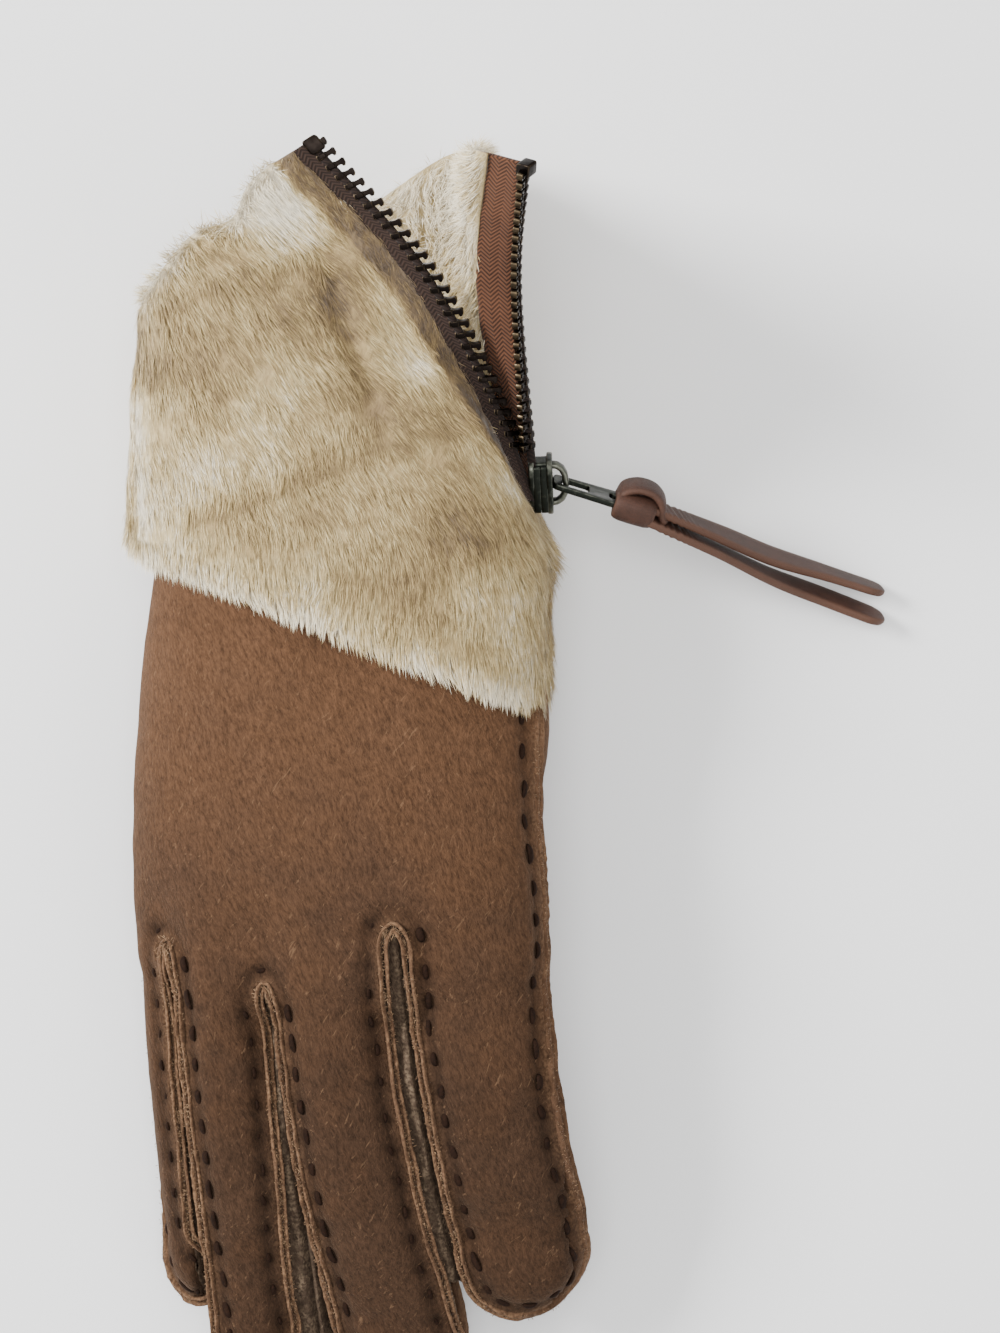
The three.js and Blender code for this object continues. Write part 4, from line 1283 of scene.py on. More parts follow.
        place(self.lips("seam_lips", [self.outseam], looks.edge), GLOVE, Slot.SUEDE)
        place(self.lips("palm_seam_lips", self.palm_seams, looks.edge), GLOVE, Slot.SUEDE)
        rng = np.random.default_rng(4)
        inward = self.outseam.aside[keep][:, 0] < 0
        plain = np.where(inward & (self.outseam.path[keep][:, 0] < 30), 0.62, 1.0)
        size = plain[:, None] * rng.uniform((0.75, 0.8, 0.8), (1.15, 1.15, 1.05), (len(at), 3))
        at = at + rng.uniform(-0.35, 0.35, at.shape) - up * self.stitch_sink
        along = unit(along + rng.uniform(-0.2, 0.2, along.shape))
        threads = row.set_out("seam_stitches", self.stitch(), at, along, up, looks.thread, size)
        place(threads, GLOVE, Slot.SUEDE)
        self.fray(looks, pile)

    def fray(self, looks: Looks, pile: Pile) -> None:
        """Frays the cut tops of the seams with short fibres, longer at the closed end of each slit."""
        seam = self.outseam
        tops = np.array([slit.point(0.0, slit.top, 8.0) for slit in SLITS])
        near = np.linalg.norm(seam.path[:, None, :2] - tops[None, :, :2], axis=2).min(axis=1)
        rows = np.array([-0.95, 0.0, 0.95])
        points = seam.path[:, None] + seam.aside[:, None] * rows[None, :, None] + seam.up[:, None] * 1.25
        count = len(seam.path)
        points = points.reshape(-1, 3)
        outer = 1 - 0.75 * smoothstep(*self.outer_side, np.abs(seam.path[:, 0]))
        wild = NOISE.three(points, 1.5, 60)
        long = (0.75 + 1.5 * faded(near, 2.6)) * MM
        fibres = pile.grow("seam_fray", points, grid_faces(count, 3), {
            "comb": wild, "pile": np.repeat(long, 3), "cover": np.repeat(outer, 3),
            "tone": np.full(len(points), 0.2),
        }, looks.fray, 7.0, 0.5, 0.9, 1.0, 0.2)
        place(fibres, GLOVE, Slot.SUEDE)


def place(piece: Piece, body: str, slot: Slot, *nodes: str) -> None:
    """Gives a finished piece to its body, and hides the frame's nodes that it stands for."""
    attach(piece, body)
    if nodes:
        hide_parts(*nodes)
    LOG.info("%s: %d faces on %s", piece.name, len(piece.data.polygons), body)


def through(knots: Array, t: Array) -> Array:
    """Points at t on the smooth curve through knots along the first axis, with straight-on ends.

    Args:
        knots: knots × anything.
        t: places along the knots, one for each result, or for each of the knots' second axis.

    Returns:
        One entry for each t.
    """
    given = np.concatenate([[2 * knots[0] - knots[1]], knots, [2 * knots[-1] - knots[-2]]])
    i = np.clip(np.floor(t).astype(int), 0, len(knots) - 2)
    part = (t - i).reshape(-1, *([1] * (knots.ndim - 1)))
    return catmull_rom(given[i], given[i + 1], given[i + 2], given[i + 3], part)


@dataclass(frozen=True)
class CuffRing:
    """A section of the cuff: centre, half width and height, and roll in degrees."""

    x: float
    z: float
    a: float
    b: float
    roll: float

    def point(self, degrees: float, y: float | None = None) -> list[float]:
        """The ring's point at an angle, at y or on the cuff's sloping lower edge."""
        c, s = math.cos(math.radians(degrees)), math.sin(math.radians(degrees))
        u = math.copysign(abs(c) ** (2 / SECTION_POWER), c) * self.a
        w = math.copysign(abs(s) ** (2 / SECTION_POWER), s) * self.b
        tilt = math.radians(self.roll)
        x = self.x + u * math.cos(tilt) - w * math.sin(tilt)
        hem = HEM_Y + HEM_SLOPE * x + HEM_UNDER * max(0.0, -s)
        return [x, hem if y is None else y, self.z + u * math.sin(tilt) + w * math.cos(tilt)]


@dataclass
class CuffShape:
    """The cuff's middle surface. u runs round its ribs from the near zip edge to the far one, v from the
    lower edge (0) by the slider (1) and half height (2) to the rim (3)."""

    hem: CuffRing = CuffRing(-0.8, 23.4, 43.4, 22.6, 5)
    ring: CuffRing = CuffRing(-0.5, 26, 41.8, 21.6, 4)
    ring_y: float = 31.0
    seam_angle: float = 0.6
    ribs: Rows = (
        (1.5, 20.5, 76.5, 53, -5, 105.7, 58), (38, 7, 75, 50.5, -17, 98, 57),
        (72, -11, 68, 51, -29, 88.5, 50), (115, -30, 61, 43, -37.5, 80.5, 39),
        (172, -41, 58, 30, -40, 78.5, 27), (200, -39, 58, 16, -35, 81, 13),
        (226, -27, 61, 6, -20, 87, 6), (250, -9, 65, 3.8, -4, 93.5, 3.8),
        (272, 9, 69, 3.8, 11, 100, 4), (294, 24, 73, 6.5, 23, 106, 8),
        (322, 31, 75, 18, 28.5, 107.5, 22), (337, 31.5, 76, 36, 29.5, 105, 50),
        (346, 29.5, 76, 53, 29, 100.5, 79), (358.5, 37, 75, 59, 38.4, 96.5, 88),
    )

    def __post_init__(self) -> None:
        """Works out the four points of each rib."""
        rows = []
        for number, (angle, *rest) in enumerate(self.ribs):
            low = {0: self.seam_angle, self.last: 360 - self.seam_angle}.get(number, angle)
            rows.append([self.hem.point(low), self.ring.point(angle, self.ring_y), rest[:3], rest[3:]])
        self.knots = np.array(rows, float).transpose(1, 0, 2)

    @property
    def last(self) -> int:
        """The number of the last rib."""
        return len(self.ribs) - 1

    def point(self, u: Array, v: Array) -> Array:
        """Points of the surface at u and v, arrays of one shape."""
        flat_u, flat_v = u.ravel(), v.ravel()
        ribs = through(self.knots, flat_v)
        i = np.clip(np.floor(flat_u).astype(int), 0, self.last - 1)
        ends = np.concatenate([2 * ribs[:, :1] - ribs[:, 1:2], ribs, 2 * ribs[:, -1:] - ribs[:, -2:-1]],
                              axis=1)
        rows = np.arange(len(flat_u))
        four = [ends[rows, i + k] for k in range(4)]
        return catmull_rom(*four, (flat_u - i)[:, None]).reshape(*u.shape, 3)

    def frame(self, u: Array, v: Array) -> tuple[Array, Array, Array]:
        """The directions round the cuff, along it toward the rim, and out of it."""
        d = 0.02
        along = self.point(u, np.minimum(v + d, 3)) - self.point(u, np.maximum(v - d, 0))
        round_it = self.point(np.minimum(u + d, self.last), v) - self.point(np.maximum(u - d, 0), v)
        return unit(round_it), unit(along), unit(np.cross(along, round_it))


@dataclass
class Pile:
    """Fur on a surface, made by a geometry tree: tapered strands that lie one way in clumps."""

    seed: int = 5
    wide: float = 0.16
    floor: float = 0.15

    def strand(self) -> Piece:
        """One strand of length 1 along Z: a two-faced ribbon that bends toward Y and narrows both ways."""
        points = np.array([(0, 0, 0), (0.5, 0.09, 0.45), (-0.5, 0.09, 0.45), (0, 0.3, 1)]) / MM
        points[:, 0] *= self.wide * MM
        return make_mesh("strand", points, [np.array([[0, 1, 2], [2, 1, 3]])],
                         {"tip": np.array([0, 0.55, 0.55, 1.0])})

    def tree(self) -> Nodes:
        """The geometry tree. The surface carries comb, pile, cover and tone for each of its points."""
        nodes, given, result = new_tree("Pile", "Geometry", {
            "Geometry": ("Geometry", None), "Strand": ("Object", None),
            "Strands per square metre": ("Float", 4e6), "Lift": ("Float", 0.4), "Stray": ("Float", 0.25),
            "Clump size": ("Float", 0.003), "Clump pull": ("Float", 0.5), "Sway": ("Float", 0.7),
            "Seed": ("Int", 1), "Finish": ("Material", None),
        }, {"Geometry": "Geometry"})
        comb = nodes.carried("comb", "FLOAT_VECTOR")
        pile, cover = nodes.carried("pile"), nodes.carried("cover")
        roots = nodes.add("GeometryNodeDistributePointsOnFaces", {
            "Mesh": given["Geometry"], "Seed": given["Seed"],
            "Density": nodes.math("MULTIPLY", cover, given["Strands per square metre"]),
        }, distribute_method="RANDOM").outputs
        where = nodes.add("GeometryNodeInputPosition").outputs[0]
        scale = nodes.math("DIVIDE", 1.0, given["Clump size"])
        bent = nodes.vector("ADD", where, nodes.shifts(where, 160.0, 1.0, 0.004))
        middle = nodes.add("ShaderNodeTexVoronoi", {"Vector": bent, "Scale": scale}).outputs["Position"]
        inward = nodes.vector("SUBTRACT", middle, where)
        pull = nodes.scaled(inward, nodes.math("MULTIPLY", given["Clump pull"], scale))
        sway = nodes.shifts(where, 110.0, 2.0, given["Sway"])
        stray = nodes.scaled(nodes.random((-1, -1, -1), (1, 1, 1), 3, "FLOAT_VECTOR"), given["Stray"])
        way = nodes.vector("ADD", nodes.scaled(roots["Normal"], given["Lift"]), comb)
        for part in (pull, sway, stray):
            way = nodes.vector("ADD", way, part)
        way = nodes.vector("NORMALIZE", way)
        flat = nodes.vector("CROSS_PRODUCT", way, nodes.vector("ADD", roots["Normal"], stray))
        long = nodes.math("MULTIPLY", nodes.random(0.6, 1.15, 8), pile)
        kept = nodes.add("GeometryNodeStoreNamedAttribute", {
            "Geometry": roots["Points"], "Name": "chance", "Value": nodes.random(0.0, 1.0, 21),
        }, data_type="FLOAT", domain="POINT").outputs[0]
        size = nodes.xyz(1.0, long, long)
        nodes.put(nodes.copies(kept, given["Strand"], way, flat, size, given["Finish"]), result[0])
        return nodes

    def __post_init__(self) -> None:
        """Makes the tree once."""
        self.made = self.tree()

    def grow(self, name: str, points: Array, faces: Array, marks: Marks, finish: Finish,
             density: float, lift: float, stray: float, clump: float, pull: float) -> Piece:
        """Grows fur on a surface.

        Args:
            name: the new piece's name.
            points: the surface's points in millimetres.
            faces: its quads.
            marks: comb, pile in metres, cover and tone for each point.
            finish: the strands' material.
            density: strands per square millimetre where cover is 1.
            lift: how much the strands stand up.
            stray: how much each goes its own way.
            clump: size of the locks in millimetres.
            pull: how much strands lean to the middle of their lock.

        Returns:
            The fur as one plain mesh.
        """
        piece = make_mesh(name, points, [faces], marks)
        strand = self.strand()
        thin = 1.0
        grown(piece, self.made, {
            "Strand": strand, "Strands per square metre": density * 1e6 * thin, "Lift": lift,
            "Stray": stray, "Clump size": clump * MM, "Clump pull": pull, "Seed": self.seed,
            "Finish": finish,
        })
        bpy.data.objects.remove(strand)
        places = np.empty(3 * len(piece.data.vertices), np.float32)
        piece.data.vertices.foreach_get("co", places)
        places[2::3] = np.maximum(places[2::3], self.floor * MM)
        piece.data.vertices.foreach_set("co", places)
        self.seed += 1
        return piece


@dataclass
class ShearlingCuff:
    """The cuff of wool-out, wool-lined shearling in two panels, open along the zip."""

    shape: CuffShape = field(default_factory=CuffShape)
    split: int = 4
    panel_seam: float = 0.016
    near_tape: float = 3.5
    far_tape: float = 9.3
    gap: float = 0.3
    wool_opens: tuple[float, float] = (0.95, 1.2)
    out: float = 2.3
    back: float = 1.5
    pile: float = 4.0
    lining_pile: float = 4.2
    density: float = 12.4
    palm_density: float = 8.0
    lining_density: float = 5.4
    parting: tuple[tuple[float, float], tuple[float, float]] = ((-0.8, 76.1), (7.3, 53.9))
    rim_changes: tuple[Point, ...] = ((1.5, 0.33, -3.5), (8.6, 1.4, 5.4))
    # Tone patches: x, y, reach and change. The darker one at (-2, 74) is painted shade in the parting's
    # valley, and the one at (24, 33) is tan wool with painted shade.
    patches: tuple[tuple[float, float, float, float], ...] = (
        (-31, 66, 13, -0.14), (-26, 42, 14, 0.14), (15.4, 62, 4.5, 0.34), (33, 38.5, 4.5, 0.34),
        (24, 33, 9, -0.3), (-11, 94, 7, 0.3), (-2, 74, 7, -0.26), (-41, 32, 11, 0.22), (10, 20, 11, -0.12),
        (-40, 55, 5, 0.15),
    )

    def edge(self, v: Array, width: float, at: int, beside: int) -> Array:
        """How far in from a zip edge the wool starts, in ribs."""
        ends = [self.shape.point(np.full(v.shape, float(rib)), v) for rib in (at, beside)]
        opens = smoothstep(*self.wool_opens, v)
        return (self.gap + (width - self.gap) * opens) / np.linalg.norm(ends[0] - ends[1], axis=-1)

    def grid(self, start: int, stop: int, columns: int, rows: int) -> tuple[Array, Array]:
        """u and v over one panel, from rib start to rib stop."""
        v = np.linspace(0, 3, rows)
        last = self.shape.last
        low, high = np.full(rows, start + self.panel_seam), np.full(rows, stop - self.panel_seam)
        if start == 0:
            low = self.edge(v, self.near_tape, 0, 1)
        if stop == last:
            high = last - self.edge(v, self.far_tape, last, last - 1)
        t = np.linspace(0, 1, columns)
        return low[:, None] + (high - low)[:, None] * t[None], np.repeat(v[:, None], columns, axis=1)

    def parting_line(self, points: Array) -> tuple[Array, Array]:
        """Distance across the parting in the back's wool, signed, and how strong it is there."""
        a, b = (np.array(end) for end in self.parting)
        way = (b - a) / np.linalg.norm(b - a)
        rel = points[..., :2] - a
        run, off = rel @ way, rel @ np.array([way[1], -way[0]])
        length = np.linalg.norm(b - a)
        strong = smoothstep(-12, 4, run) * (1 - smoothstep(length - 6, length + 10, run))
        return -off, strong * (points[..., 2] > 40)

    def build_panel(self, name: str, start: int, stop: int, looks: Looks, pile: Pile, node: str) -> None:
        """Builds one panel's hide and the wool on both of its faces.

        Args:
            name: what the pieces' names begin with.
            start: its first rib.
            stop: its last rib.
            looks: the materials.
            pile: grows the wool.
            node: the frame's node that the panel stands for.
        """
        columns, rows = (84, 80) if start == 0 else (128, 80)
        u, v = self.grid(start, stop, columns, rows)
        base = self.shape.point(u, v)
        round_it, along, normal = self.shape.frame(u, v)
        for rib, reach, rise in self.rim_changes:
            change = rise * np.exp(-((u - rib) / reach) ** 2) * smoothstep(2.2, 3.0, v)
            base = base + along * change[..., None]
        side = np.cumsum(np.linalg.norm(np.diff(base, axis=1, prepend=base[:, :1]), axis=2), axis=1)
        rise = np.cumsum(np.linalg.norm(np.diff(base, axis=0, prepend=base[:1]), axis=2), axis=0)
        edges = [side, side[:, -1:] - side, rise, rise[-1:] - rise]
        seam_side = (0, 3) if start == 0 else (3, 0)
        free = np.minimum.reduce([edges[0] + seam_side[0], edges[1] + seam_side[1], *edges[2:]])
        fade = smoothstep(0, 4.5, free)
        across, strong = self.parting_line(base)
        groove = 1.3 * faded(across, 2.4) * strong
        lumps = 0.5 * NOISE.at(base, 9) + 0.3 * NOISE.at(base + 70, 4)
        outer = base + normal * (0.3 + fade * (self.out - 0.3 + lumps - groove))[..., None]
        inner = base - normal * (0.3 + fade * (self.back - 0.3 + 0.4 * NOISE.at(base + 130, 6)))[..., None]
        keep_above(outer, 0.5)
        keep_above(inner, 1.4)
        points, faces = wrap(outer, inner)
        faces = faces[:, ::-1]
        count = rows * columns
        tone, comb, length, cover = self.wool_marks(base, (round_it, along, normal), v, edges,
                                                    (start, across * strong))
        marks = {"tone": np.concatenate([tone.ravel(), np.full(count, 0.75)])}
        hide = finished(make_mesh(f"{name}_hide", points, [faces], marks), looks.wool_root)
        place(hide, GLOVE, Slot.WOOL, node)
        rim_out = smoothstep(0, 1.5, free)
        turned = 1 if start == 0 else -1
        beside = 1 - smoothstep(2, 9, edges[0 if start == 0 else 1])
        inner_comb = -along * 0.5 + round_it * (0.6 * turned) * beside[..., None]
        inner_comb += 0.5 * NOISE.three(base, 8, 10, 300)
        both_comb = np.concatenate([comb.reshape(-1, 3), inner_comb.reshape(-1, 3)])
        outer_cover = np.concatenate([cover.ravel(),
                                      (0.7 * (1 - rim_out) * smoothstep(2.0, 2.6, v)).ravel()])
        tones = np.concatenate([tone.ravel(), np.full(count, 0.86)])
        piles = np.concatenate([length.ravel(), np.full(count, self.pile * 0.6)]) * MM
        wool = pile.grow(f"{name}_wool", points, faces, {
            "comb": both_comb, "pile": piles, "cover": outer_cover, "tone": tones,
        }, looks.wool, self.density if start == 0 else self.palm_density, 0.36, 0.26, 1.6, 0.36)
        place(wool, GLOVE, Slot.WOOL)
        inner_cover = smoothstep(0.75, 1.1, v) * rim_out
        keep = np.concatenate([np.zeros(count), inner_cover.ravel()])
        lining = pile.grow(f"{name}_lining_wool", points, faces, {
            "comb": both_comb, "pile": np.full(2 * count, self.lining_pile * MM), "cover": keep,
            "tone": np.concatenate([tone.ravel(), (0.72 + 0.24 * smoothstep(1.2, 2.6, v)).ravel()]),
        }, looks.wool, self.lining_density, 0.7, 0.3, 2.2, 0.5)
        place(lining, GLOVE, Slot.WOOL)

    def wool_marks(self, base: Array, frame: tuple[Array, Array, Array], v: Array, edges: Sequence[Array],
                   lie: tuple[int, Array]) -> tuple[Array, Array, Array, Array]:
        """How light the wool is on the outer face, and which way, how long and how thick it grows.

        Args:
            base: the panel's points.
            frame: round, along and out directions there.
            v: the height along the ribs.
            edges: distances from the panel's four edges: its start, its end, the lower edge and the rim.
            lie: the panel's first rib, and the signed distance from the parting.

        Returns:
            tone, comb, pile in millimetres and cover.
        """
        round_it, along, normal = frame
        start, parting = lie
        down = -along + np.array([0.22, -0.3, 0.0])
        down += 0.2 * NOISE.three(base, 9, 10)
        side = np.sign(parting) * np.exp(-np.abs(parting) / 5) * (np.abs(parting) > 0)
        down[..., 0] += 0.5 * side
        rim = 1 - smoothstep(0, 4.5, edges[3])
        comb = down * (1 - 0.8 * rim[..., None]) + (along * 0.2 + normal * 0.3) * rim[..., None]
        hem = 1 - smoothstep(0, 7, edges[2])
        near = edges[0] if start == 0 else edges[1]
        tape = (1 - smoothstep(3.0, 6.0, near)) * smoothstep(1.0, 1.3, v)
        away = round_it * (0.3 if start == 0 else -0.3) - along
        comb = comb * (1 - tape[..., None]) + away * tape[..., None]
        tone = 0.56 + 0.14 * NOISE.at(base, 14) + 0.08 * NOISE.at(base + 33, 5)
        tone += 0.3 * hem + 0.34 * rim + 0.2 * smoothstep(-34, -44, base[..., 0])
        for x, y, reach, change in self.patches:
            spot = np.hypot(base[..., 0] - x, base[..., 1] - y) / reach
            tone += change * np.exp(-spot * spot) * (base[..., 2] > 30)
        # Painted shade along the parting's groove.
        tone -= 0.16 * faded(parting, 3.5) * (np.abs(parting) > 0)
        tone = tone * (1 - tape) + (0.08 + 0.12 * NOISE.at(base + 60, 2.4)) * tape
        beside = np.exp(-((base[..., 0] - 44) ** 2 + (base[..., 1] - 27) ** 2) / 36) * (base[..., 2] > 12)
        comb = comb + np.array([0.9, 0.1, 0.1]) * beside[..., None]
        length = self.pile * (1 - 0.4 * tape) * (1 + 0.12 * NOISE.at(base + 200, 7) + 0.8 * beside)
        return np.clip(tone, 0, 1), comb, length, 1 - 0.2 * tape

    def build(self, looks: Looks, pile: Pile) -> None:
        """Builds both panels."""
        self.build_panel("cuff_back", 0, self.split, looks, pile, "cuff_back")
        self.build_panel("cuff_palm", self.split, self.shape.last, looks, pile, "cuff_palm")


def bevelled(name: str, outline: Array, low: float, high: float, edge: float, frame: Matrix,
             holes: Sequence[Array] = ()) -> Piece:
    """A plate cut from a flat outline, with rounded edges.

    Args:
        name: the piece's name.
        outline: its corners in the frame's x and y.
        low: its lower face along the frame's z.
        high: its upper face.
        edge: width of the rounding.
        frame: the frame's directions and place in millimetres.
        holes: outlines cut through it.

    Returns:
        The plate.
    """
    curve = bpy.data.curves.new(name, "CURVE")
    curve.dimensions = "2D"
    curve.fill_mode = "BOTH"
    curve.extrude = (high - low) / 2 - edge
    curve.bevel_depth = edge
    curve.offset = -edge
    curve.bevel_resolution = 2
    for corners in (outline, *holes):
        spline = curve.splines.new("POLY")
        spline.points.add(len(corners) - 1)
        for point, corner in zip(spline.points, corners):
            point.co = (*corner, 0, 1)
        spline.use_cyclic_u = True
    shape = linked(name, curve)
    bpy.context.view_layer.update()
    mesh = bpy.data.meshes.new_from_object(shape.evaluated_get(bpy.context.evaluated_depsgraph_get()))
    bpy.data.objects.remove(shape)
    mesh.transform(Matrix.Translation((0, 0, (low + high) / 2)))
    mesh.transform(frame)
    mesh.transform(Matrix.Scale(MM, 4))
    mesh.name = name
    return turned_out(linked(name, mesh))


def rounded(wide: float, long: float, corner: float, at: tuple[float, float] = (0, 0),
            top: float | None = None) -> Array:
    """Corners of a rounded rectangle, or of one whose far end has another width."""
    points = []
    ends = ((1, -1, 270, wide), (1, 1, 0, top or wide), (-1, 1, 90, top or wide), (-1, -1, 180, wide))
    for sx, sy, start, width in ends:
        for angle in np.radians(start + np.linspace(0, 90, 5)):
            x = sx * (width / 2 - corner) + corner * math.cos(angle)
            points.append((at[0] + x, at[1] + sy * (long / 2 - corner) + corner * math.sin(angle)))
    return np.array(points)


def merged(name: str, pieces: Sequence[Piece]) -> Piece:
    """Several mesh objects made one."""
    work = bmesh.new()
    for piece in pieces:
        work.from_mesh(piece.data)
        bpy.data.objects.remove(piece)
    mesh = bpy.data.meshes.new(name)
    work.to_mesh(mesh)
    work.free()
    return linked(name, mesh)


def marked_wear_and_glint(piece: Piece) -> Piece:
    """Keeps on each point how sharply its edges stand out, for edges made bright as wear and a painted
    highlight.
    """
    work = bmesh.new()
    work.from_mesh(piece.data)
    sharp = np.zeros(len(work.verts))
    for vert in work.verts:
        angles = [edge.calc_face_angle_signed(0.0) for edge in vert.link_edges]
        sharp[vert.index] = np.clip(max(angles, default=0.0) / 0.9, 0, 1)
    work.free()
    piece.data.attributes.new("wear", "FLOAT", "POINT").data.foreach_set("value", sharp.astype(np.float32))
    piece.data.polygons.foreach_set("use_smooth", np.ones(len(piece.data.polygons), bool))
    return piece


@dataclass(frozen=True)
class ZipPath:
    """The edge of the cuff that one half of the zip follows."""

    at: Array
    inward: Array
    up: Array
    along: Array

    def spread(self, count: int, first: float, last: float) -> ZipPath:
        """The same edge at evenly spaced places between two shares of its length."""
        run = run_along(self.at)
        wanted = np.linspace(first, last, count) * run[-1]
        ways = (unit(resampled(way, run, wanted)) for way in (self.inward, self.up, self.along))
        return ZipPath(resampled(self.at, run, wanted), *ways)

    @property
    def length(self) -> float:
        """Its length in millimetres."""
        return float(np.linalg.norm(np.diff(self.at, axis=0), axis=1).sum())


@dataclass
class Zip:
    """The two halves of the open zip: woven tapes, cords, metal teeth and a top stop on each."""

    shape: CuffShape
    row_start: float = 16.2
    teeth: int = 29
    tooth_first: float = 0.012
    tooth_last: float = 0.985
    bead: float = 0.9
    near_tape: float = 4.4
    far_tape: float = 10.2
    thick: float = 0.8

    def edge(self, rib: int, beside: int) -> ZipPath:
        """The path along one zip edge, from the slider's height to the rim."""
        v = np.linspace(1, 3, 160)
        u = np.full(v.shape, float(rib))
        at = self.shape.point(u, v)
        inward = unit(self.shape.point(u + (beside - rib) * 0.1, v) - at)
        return ZipPath(at, inward, self.shape.frame(u, v)[2], unit(np.gradient(at, axis=0)))

    def tape(self, name: str, run: ZipPath, width: float, finish: Finish) -> Piece:
        """A woven tape with a thicker edge, and where each point lies on it kept for its weave."""
        columns = 13
        across = np.linspace(0.2, width - 0.4, columns)
        wave = 0.12 * np.sin(np.linspace(0, 60, len(run.at)))[:, None]
        lift = 0.16 * np.exp(-((across - 0.5) / 0.7) ** 2)[None] + wave * (across / width)[None]
        up = run.up[:, None]
        mid = run.at[:, None] + run.inward[:, None] * across[None, :, None] + up * lift[..., None]
        half = np.full((1, columns, 1), self.thick / 2)
        half[0, [0, -1]] *= 0.55
        points, faces = wrap(mid + up * half, mid - up * half)
        s = np.tile(across, len(run.at))
        t = np.repeat(np.linspace(0, run.length, len(run.at)), columns)
        weave = np.stack([s, t, np.zeros(len(s))], axis=1)
        piece = make_mesh(name, points, [faces], {"weave": np.vstack([weave, weave])})
        return finished(turned_out(piece), finish)

    def cord(self, run: ZipPath, name: str, looks: Looks) -> Piece:
        """The round cord at the tape's edge that the teeth are clamped on."""
        angles = np.radians(np.arange(0, 360, 36))
        outline = np.stack([np.cos(angles), np.sin(angles)], axis=1) * self.bead
        points, faces, ends = sweep(run.at, run.inward, run.up, outline)
        t = np.repeat(np.linspace(0, run.length, len(run.at)), len(angles))
        weave = np.stack([np.tile(np.arange(len(angles)) * 0.6, len(run.at)), t, np.zeros(len(t))], axis=1)
        return finished(turned_out(make_mesh(name, points, [faces, ends], {"weave": weave})), looks.cord)

    def tooth(self) -> Piece:
        """One tooth: jaws round the cord at the back, a neck, and a hooked head. X along the zip, Z up."""
        left = [(-1.1, -0.6), (0.9, -0.66), (1.2, -0.52), (2.0, -0.52), (2.3, -1.05), (2.75, -1.0),
                (3.05, -0.5)]
        right = [(3.05, 0.45), (2.7, 0.68), (2.3, 0.6), (2.0, 0.52), (1.2, 0.52), (0.9, 0.66), (-1.1, 0.6)]
        outline = np.array([(y, x) for x, y in left + right])
        body = bevelled("tooth_body", outline, -0.65, 0.65, 0.16, Matrix.Identity(4))
        nib = bevelled("tooth_nib", rounded(0.8, 0.7, 0.25, (0, 2.5)), 0.45, 0.95, 0.16, Matrix.Identity(4))
        jaw = bevelled("tooth_jaw", rounded(1.3, 1.7, 0.4, (0, 0.1)), -1.05, 1.05, 0.26, Matrix.Identity(4))
        return marked_wear_and_glint(merged("tooth", [body, nib, jaw]))

    def stop(self, run: ZipPath, name: str, looks: Looks) -> Piece:
        """The block that ends a row of teeth."""
        frame = frame_of(run.along[-1], -run.inward[-1], run.up[-1], run.at[-1] - run.along[-1] * 1.2)
        block = bevelled(name, rounded(3.6, 3.4, 0.7, (0, 0.4)), -1.3, 1.3, 0.35, frame)
        return finished(marked_wear_and_glint(block), looks.teeth)

    def build(self, looks: Looks, row: Row) -> None:
        """Builds both halves."""
        last = self.shape.last
        halves = (("near", 0, 1, self.near_tape), ("far", last, last - 1, self.far_tape))
        for side, rib, beside, width in halves:
            edge = self.edge(rib, beside)
            first = self.row_start / edge.length
            run = edge.spread(130, 4.0 / edge.length, 1.0)
            # The near tape takes the darker copy of the tape's finish, as painted shade.
            finish = looks.tape_dark if side == "near" else looks.tape
            place(self.tape(f"tape_{side}", run, width, finish), GLOVE, Slot.TAPE, f"zip_tape_{side}")
            place(self.cord(run, f"tape_cord_{side}", looks), GLOVE, Slot.TAPE)
            spots = edge.spread(self.teeth, first + self.tooth_first, self.tooth_last)
            out = -spots.inward if side == "near" else unit(-0.4 * spots.inward - spots.up)
            up = unit(np.cross(spots.along, out))
            along = unit(np.cross(out, up))
            teeth = row.set_out(f"teeth_{side}", self.tooth(), spots.at, along, up, looks.teeth)
            place(teeth, GLOVE, Slot.TEETH, f"zip_teeth_{side}")
            place(self.stop(edge, f"top_stop_{side}", looks), GLOVE, Slot.TEETH)


def frame_of(x: Array, y: Array, z: Array, at: Array) -> Matrix:
    """A frame from three square directions and a place."""
    return Matrix(np.vstack([np.column_stack([x, y, z, at]), [0, 0, 0, 1]]).tolist())


